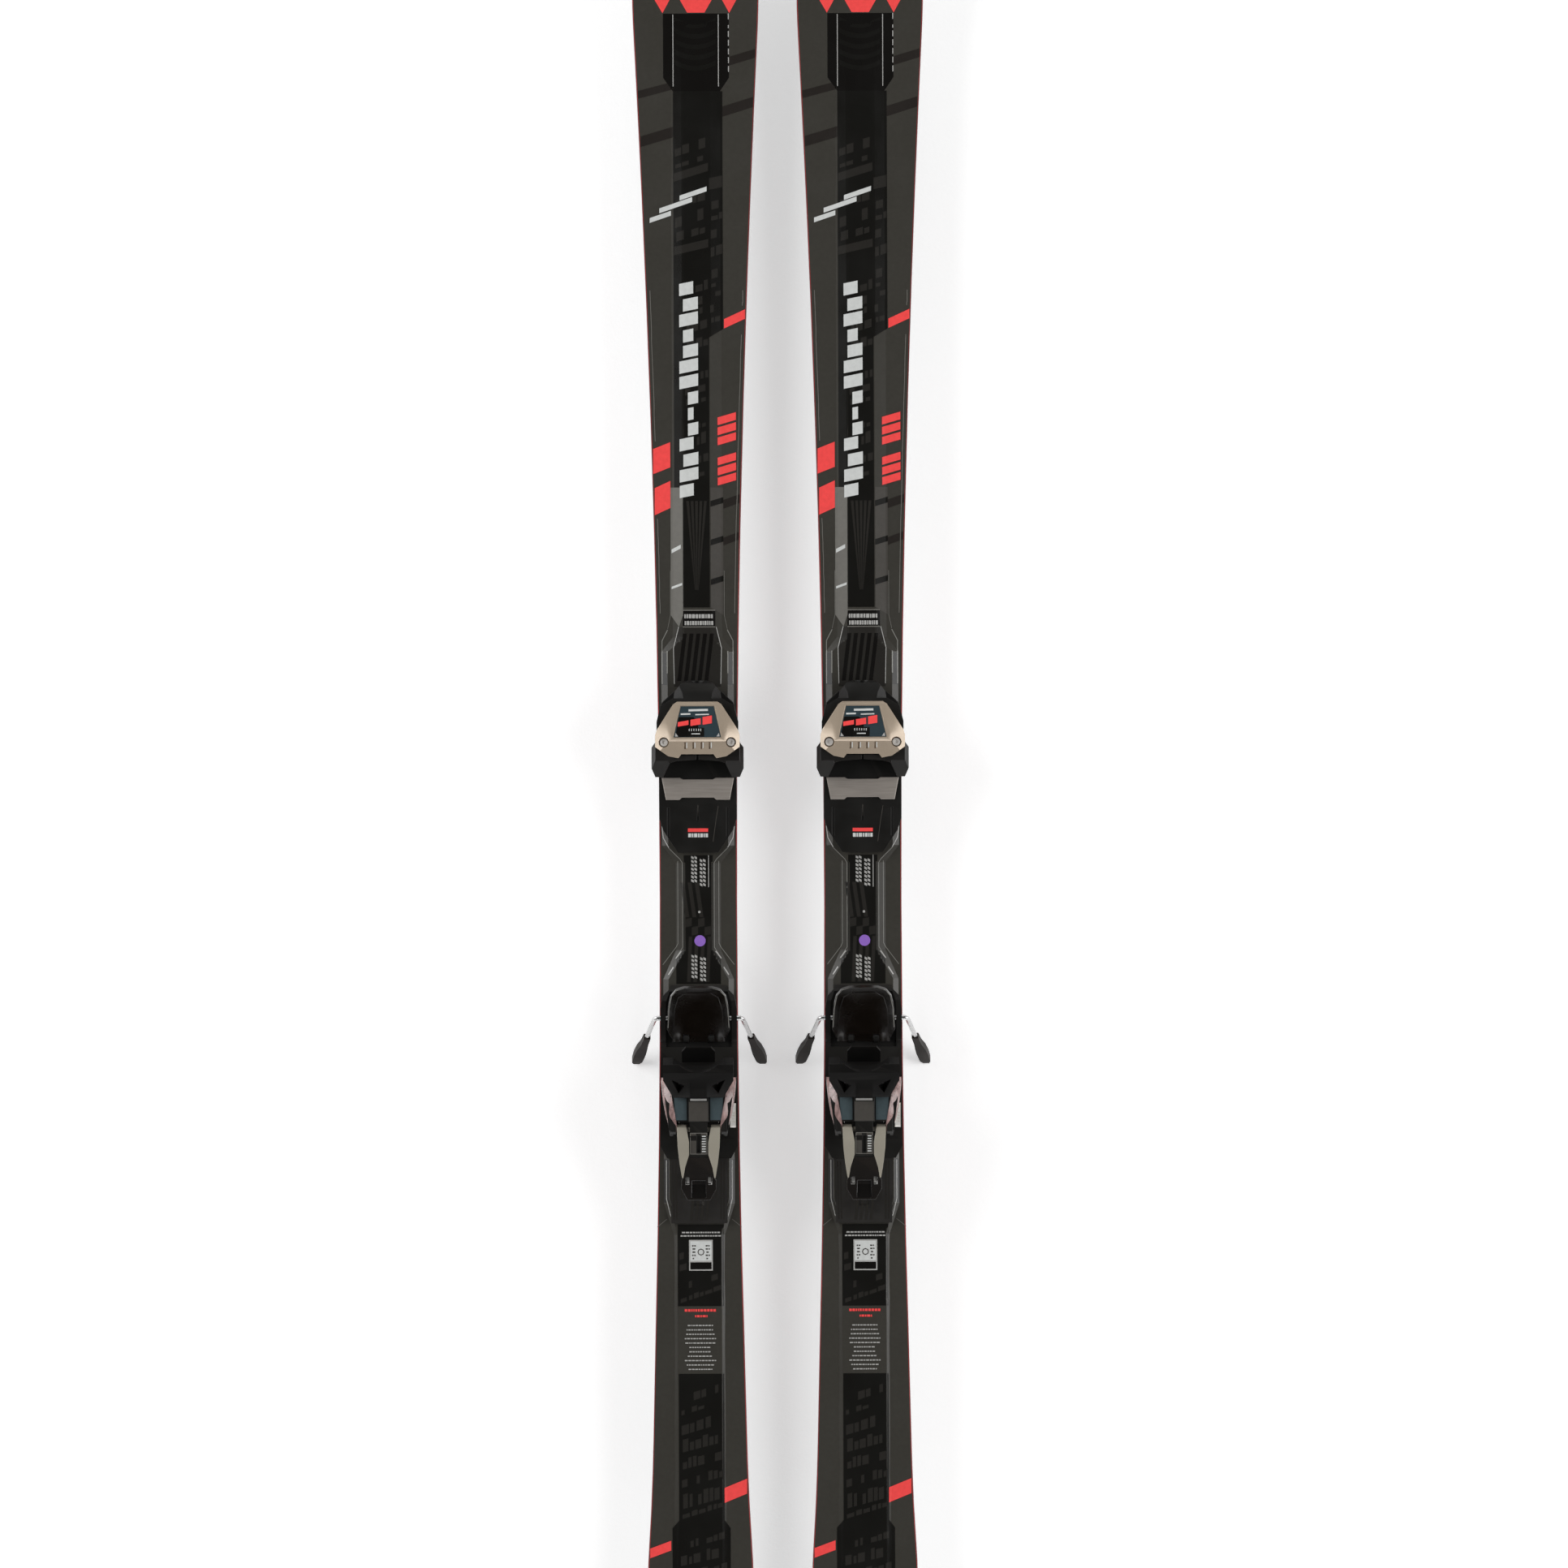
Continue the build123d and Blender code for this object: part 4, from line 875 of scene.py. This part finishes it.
# --- toe piece -----------------------------------------------------------------------------------
LABEL = [(-16.9, 55.5), (16.9, 55.5), (24.2, 23.6), (-24.2, 23.6)]
LABEL_SHADE = [(-19.0, 44.4), (-4, 44.4), (1, 40), (1, 27), (-8, 24), (-22.6, 24)]
LABEL_CORNER = [(-23.0, 24.4), (-19.6, 24.4), (-22.2, 28.0)]
LABEL_HEAD = [
    slanted(-9, 11, 50.2, 52.4, 0.4), slanted(-17, -7, 46.6, 48.2, 0.2), slanted(-2, 12, 46.2, 47.4, 0.4),
]
LABEL_FLASH = [
    slanted(-20, -9, 34.6, 39.2, 1.8), slanted(-7, 3.5, 35.2, 41.6, 1.6), slanted(5.5, 15, 36.4, 44.4, 1.6),
]
SCALE_X = (-8.6, -6.2, -3.8, -1.4, 1.0, 3.2)
# Where the CAD cap has its finger slots.
CAP_SLOTS_X = (-12.6, -4.2, 4.2, 12.6)
# How high the top of each film lies over the cap.
LABEL_THICK = 0.3 * MM
ON_LABEL = 0.4 * MM
ON_CORNER = 0.42 * MM
ON_SHADE = 0.52 * MM
ON_WINDOW = 0.64 * MM
ON_CAP = 0.1 * MM


def toe_labels(ski):
    """The cap's label with its blocks and scale, painted highlights on the ribs by its slots, and the marks
    on the toe base.
    """
    def on_cap(name, ink, shapes, lift, film=FILM):
        lay_on(name, ski, [f"{ski}_ski_toe_cap"], f"{ski}_toe_piece", ink, shapes, lift, film)

    def on_base(name, ink, shapes):
        lay_on(name, ski, [f"{ski}_ski_toe_base"], f"{ski}_toe_piece", ink, shapes, LAYER)

    scale = [bar(x, x + 0.7, 30.0, 32.4) for x in SCALE_X] + [bar(-6, 3, 26.6, 27.6)]
    base_lines = [bar(-0.4, 0.4, -58, -46)] + stroke([(21, -47), (18.5, -62), (15.5, -84)], 0.6)
    on_cap("toe_label", "teal", [LABEL], LABEL_THICK, LABEL_THICK)
    on_cap("toe_label_shade", "deep", [LABEL_SHADE], ON_LABEL)
    on_cap("toe_label_head", "white", LABEL_HEAD, ON_SHADE)
    on_cap("toe_label_flash", "red", LABEL_FLASH, ON_SHADE)
    on_cap("toe_label_window", "black", [bar(-10, 7, 24.2, 33.4)], ON_SHADE)
    on_cap("toe_scale", "white", scale, ON_WINDOW)
    on_cap("toe_label_corners", "silver", mirrored([LABEL_CORNER]), ON_CORNER)
    # Painted highlights: white bars on the rib tops between the cap's finger slots.
    on_cap("toe_cap_rib_glints", "white", [bar(x + 1.3, x + 2.2, 12.6, 18.2) for x in CAP_SLOTS_X], ON_CAP)
    on_base("toe_base_mark_red", "red", [bar(-10.4, 10.4, -73.8, -70.2)])
    on_base("toe_base_mark_white", "white", tick_lines(-11.5, 11.5, -79.4, -75.2, 1, 24, 4.0))
    on_base("toe_base_lines", "grey", base_lines)


# --- heel piece ----------------------------------------------------------------------------------
SIDE_PANEL = [(-25.2, -345), (-12.0, -345), (-12.0, -369.4), (-24.2, -369.4)]
SIDE_PANEL_THICK = 0.9 * MM
SETTING_FRAME = [(-8.5, -382.6), (8.5, -382.6), (8.5, -404.2), (-8.5, -404.2), (-8.5, -382.6)]
# The path of the painted highlight along the pedal's rim.
PEDAL_RIM = [(-31.4, -275.5), (-30.2, -255.4), (-27.4, -242.4), (-22.4, -236.5), (-14.6, -234)]
ON_HOUSING = 0.2 * MM
ON_BAR = 0.25 * MM
ON_SETTING_PLATE = 0.32 * MM
ON_PEDAL = 0.14 * MM
ON_PAD = 0.16 * MM


def heel_details(ski):
    """Plates, marks and lines on the heel housing, painted highlights on the pedal's rim, and clips and the
    painted shade of a hollow on the lever's end pad.
    """
    def on_housing(name, ink, shapes, lift, film=FILM):
        housing = [f"{ski}_ski_heel_housing"]
        lay_on(name, ski, housing, f"{ski}_heel_unit", ink, shapes, lift, film)

    def on_pad(name, ink, shapes):
        lay_on(name, ski, [f"{ski}_ski_lever_pad"], f"{ski}_lever", ink, shapes, ON_PAD)

    setting_plate = [bar(-8.4, -2.4, -404.4, -382.2), bar(2.4, 8.4, -404.4, -382.2)]
    setting_marks = [bar(3.4, 7.4, -386.4 - 2.6 * i, -385.4 - 2.6 * i) for i in range(7)]
    on_housing("heel_side_panels", "slate", mirrored([SIDE_PANEL]), SIDE_PANEL_THICK, SIDE_PANEL_THICK)
    on_housing("heel_light_bar", "silver", [bar(-8.5, 8.5, -349.4, -347.2)], ON_BAR)
    on_housing("heel_setting_plate", "grey", setting_plate, ON_HOUSING)
    on_housing("heel_setting_frame", "light", stroke(SETTING_FRAME, 0.6), ON_SETTING_PLATE)
    on_housing("heel_setting_marks", "white", setting_marks, ON_SETTING_PLATE)
    on_housing("heel_block", "grey", [bar(-9.9, 9.9, -370.4, -350.4)], ON_HOUSING)
    # Painted highlights along the top edges of the pedal's rim.
    lay_on("pedal_glints", ski, [f"{ski}_ski_brake_pedal"], f"{ski}_pedal", "line",
           mirrored(stroke(PEDAL_RIM, 0.8)), ON_PEDAL)
    on_pad("pad_clips", "silver", mirrored([bar(-13.6, -9.8, -436, -428.6)]))
    # Painted shade: a dark patch that stands for the hollow in the pad.
    on_pad("pad_hollow_shade", "deep", [bar(-6.8, 6.4, -449.6, -436)])


# Cross sections of a cheek, in millimetres: x of the outer side, width, and z of foot and top.
Section = namedtuple("Section", "y outer wide low high")
FIN_SECTIONS = (
    Section(-326, 38.8, 3.0, 62, 66),
    Section(-331, 38.6, 7.5, 60, 71),
    Section(-340, 37.8, 9.4, 60, 76),
    Section(-352, 36.4, 10.2, 60, 79),
    Section(-364, 34.2, 10.2, 60, 79),
    Section(-374, 31.4, 9.0, 61, 77.5),
    Section(-382, 28.4, 5.4, 63, 74),
)
FIN_SLOPE = 1.6
FIN_SHOULDER = 0.45
FIN_LEAN = 0.4
FIN_LIP = 1.2
FIN_FOOT = 1.6
FIN_ROUNDING = 0.4 * MM
PIN_BOTTOM_Z = 42


def fin_mesh(ski, side):
    """A cheek along one shoulder of the heel housing, following its taper."""
    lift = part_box(f"{ski}_ski_heel_pin")[0].z - PIN_BOTTOM_Z * MM
    build = bmesh.new()
    rings = []
    for y, outer, wide, low, high in FIN_SECTIONS:
        inner = outer - wide
        shoulder = (outer - wide * FIN_SHOULDER, high - FIN_SLOPE)
        profile = ((outer, low), (outer - FIN_LEAN, high - FIN_SLOPE * 3), shoulder,
                   (inner, high), (inner, high - FIN_LIP), (outer - FIN_FOOT, low))
        rings.append([build.verts.new((CENTRE[ski] + side * x * MM, y * MM, lift + z * MM))
                      for x, z in profile])
    count = len(rings[0])
    for a, b in zip(rings, rings[1:]):
        for i in range(count):
            j = (i + 1) % count
            build.faces.new((a[i], a[j], b[j], b[i]))
    build.faces.new(rings[0])
    build.faces.new(list(reversed(rings[-1])))
    bmesh.ops.recalc_face_normals(build, faces=build.faces)
    mesh = bpy.data.meshes.new("fin")
    build.to_mesh(mesh)
    build.free()
    return mesh


def fin_finish():
    """Milky, slightly see-through rose plastic with pale streaks."""
    finish = Finish("fin_rose", srgb(168, 136, 132), 0.28, coat=0.35)
    finish.mottle(420, 0.45, 6.0, (1, 0.35, 1)).smudges(60, 0.22, 0.36).relief(600, 0.00008, 2.0)
    finish.shader.inputs["Transmission Weight"].default_value = 0.3
    return finish.material


FIN_ROSE = fin_finish()


def heel_fins(ski):
    """Both see-through cheeks of one heel housing."""
    for side, word in ((LEFT, "left"), (RIGHT, "right")):
        mesh = bevelled(fin_mesh(ski, side), FIN_ROUNDING, 2)
        add_piece(f"{ski}_heel_fin_{word}", mesh, f"{ski}_heel_unit", FIN_ROSE)


# --- stage ---------------------------------------------------------------------------------------
FLOOR_HALF = 9.0
FLOOR_GAP = 0.0005
FLOOR_GLOW = 0.42


def floor():
    """White studio paper just under the skis, which glows a little so that it renders as white."""
    mesh = bpy.data.meshes.new("floor")
    half = FLOOR_HALF
    corners = [(-half, -half, 0), (half, -half, 0), (half, half, 0), (-half, half, 0)]
    mesh.from_pydata(corners, [], [(0, 1, 2, 3)])
    ground = bpy.data.objects.new("floor", mesh)
    bpy.context.scene.collection.objects.link(ground)
    finish = Finish("floor_paper", (0.9, 0.9, 0.9, 1), 0.85)
    finish.mottle(3, 0.01).relief(300, 0.0002)
    finish.shader.inputs["Emission Color"].default_value = (1, 1, 1, 1)
    finish.shader.inputs["Emission Strength"].default_value = FLOOR_GLOW
    mesh.materials.append(finish.material)
    ground.location.z = cad_box[0][2] - FLOOR_GAP


def area_light(name, place, target, size, power):
    """A round lamp at a place, aimed at a target."""
    data = bpy.data.lights.new(name, "AREA")
    data.shape = "DISK"
    data.size = size
    data.energy = power
    lamp = bpy.data.objects.new(name, data)
    bpy.context.scene.collection.objects.link(lamp)
    lamp.location = place
    lamp.rotation_euler = (Vector(target) - Vector(place)).to_track_quat("-Z", "Y").to_euler()


ZENITH, HORIZON = 0.10, 1.6
DIMMING = 3.0


def studio_world():
    """A soft tent of light, bright low down and dim overhead, so that flat tops stay deep in tone."""
    world = bpy.data.worlds.new("studio")
    world.use_nodes = True
    nodes, links = world.node_tree.nodes, world.node_tree.links
    split = nodes.new("ShaderNodeSeparateXYZ")
    links.new(nodes.new("ShaderNodeTexCoord").outputs["Generated"], split.inputs[0])
    below = nodes.new("ShaderNodeMath")
    below.operation = "SUBTRACT"
    below.use_clamp = True
    below.inputs[0].default_value = 1.0
    links.new(split.outputs["Z"], below.inputs[1])
    curve = nodes.new("ShaderNodeMath")
    curve.operation = "POWER"
    curve.inputs[1].default_value = DIMMING
    links.new(below.outputs[0], curve.inputs[0])
    fall = nodes.new("ShaderNodeMapRange")
    fall.inputs["To Min"].default_value = ZENITH
    fall.inputs["To Max"].default_value = HORIZON
    links.new(curve.outputs[0], fall.inputs["Value"])
    links.new(fall.outputs["Result"], nodes["Background"].inputs["Strength"])
    nodes["Background"].inputs["Color"].default_value = (1, 1, 1, 1)
    bpy.context.scene.world = world


def lighting():
    """Two large lamps high at the sides, two weak ones beyond the tips and tails, and the tent."""
    studio_world()
    area_light("key", (-3.2, 1.1, 2.3), (0, 0.1, 0), 3.0, 104)
    area_light("fill", (3.2, -0.1, 2.3), (0, 0, 0), 3.0, 90)
    area_light("rear", (0.3, -4.2, 1.0), (0, -0.2, 0), 2.0, 24)
    area_light("front", (-0.3, 4.2, 1.0), (0, 0.2, 0), 2.0, 16)
    bpy.context.scene.view_settings.view_transform = "Standard"


# The photograph's frame on the object: its side and centre in metres, and the turn of the skis in it.
FRAME_SIDE = 1.62
FRAME_X, FRAME_Y = 0.0039, -0.0247
SKI_TILT = -0.2
EYE_HEIGHT = 9.0
SUBJECT_HEIGHT = 0.066
SENSOR = 36
FAR_LIMIT = 60


def camera():
    """Straight above the waist, far off, so that the skis are seen as good as square on."""
    data = bpy.data.cameras.new("camera")
    data.sensor_width = SENSOR
    data.lens = SENSOR * EYE_HEIGHT / FRAME_SIDE
    data.clip_end = FAR_LIMIT
    eye = bpy.data.objects.new("camera", data)
    bpy.context.scene.collection.objects.link(eye)
    eye.location = (FRAME_X, FRAME_Y, EYE_HEIGHT + SUBJECT_HEIGHT)
    eye.rotation_euler = (0, 0, math.radians(SKI_TILT))
    bpy.context.scene.camera = eye


# --- assembly ------------------------------------------------------------------------------------
# The rounding of each moulded or milled piece's edges, in millimetres.
ROUNDED = {
    "toe_cap": 1.0, "toe_housing": 0.9, "toe_base": 0.7, "toe_wing_left": 1.3, "toe_wing_right": 1.3,
    "afd_plate": 0.3, "heel_carriage": 0.7, "heel_housing": 0.9, "heel_cup": 1.1, "heel_lever": 0.5,
    "lever_pad": 0.7, "heel_lock_tab": 0.4, "brake_pedal": 0.7, "brake_tips": 1.4, "toe_release_screw": 0.4,
    "tail_protector": 0.5,
}

OWN_FINISH = {
    "heel_cup": plastic("cup_black", srgb(13, 12, 11), 0.5, shine=0.12),
    "toe_release_screw": brushed("zinc_plate", (0.42, 0.42, 0.43, 1), EVEN, 0.36, 0.7),
}

for ski in SKIS:
    for node, width in ROUNDED.items():
        soften(f"{ski}_ski_{node}", width * MM, OWN_FINISH.get(node))
    print_ski(ski)
    print_track(ski)
    toe_labels(ski)
    heel_details(ski)
    heel_fins(ski)

floor()
lighting()
camera()
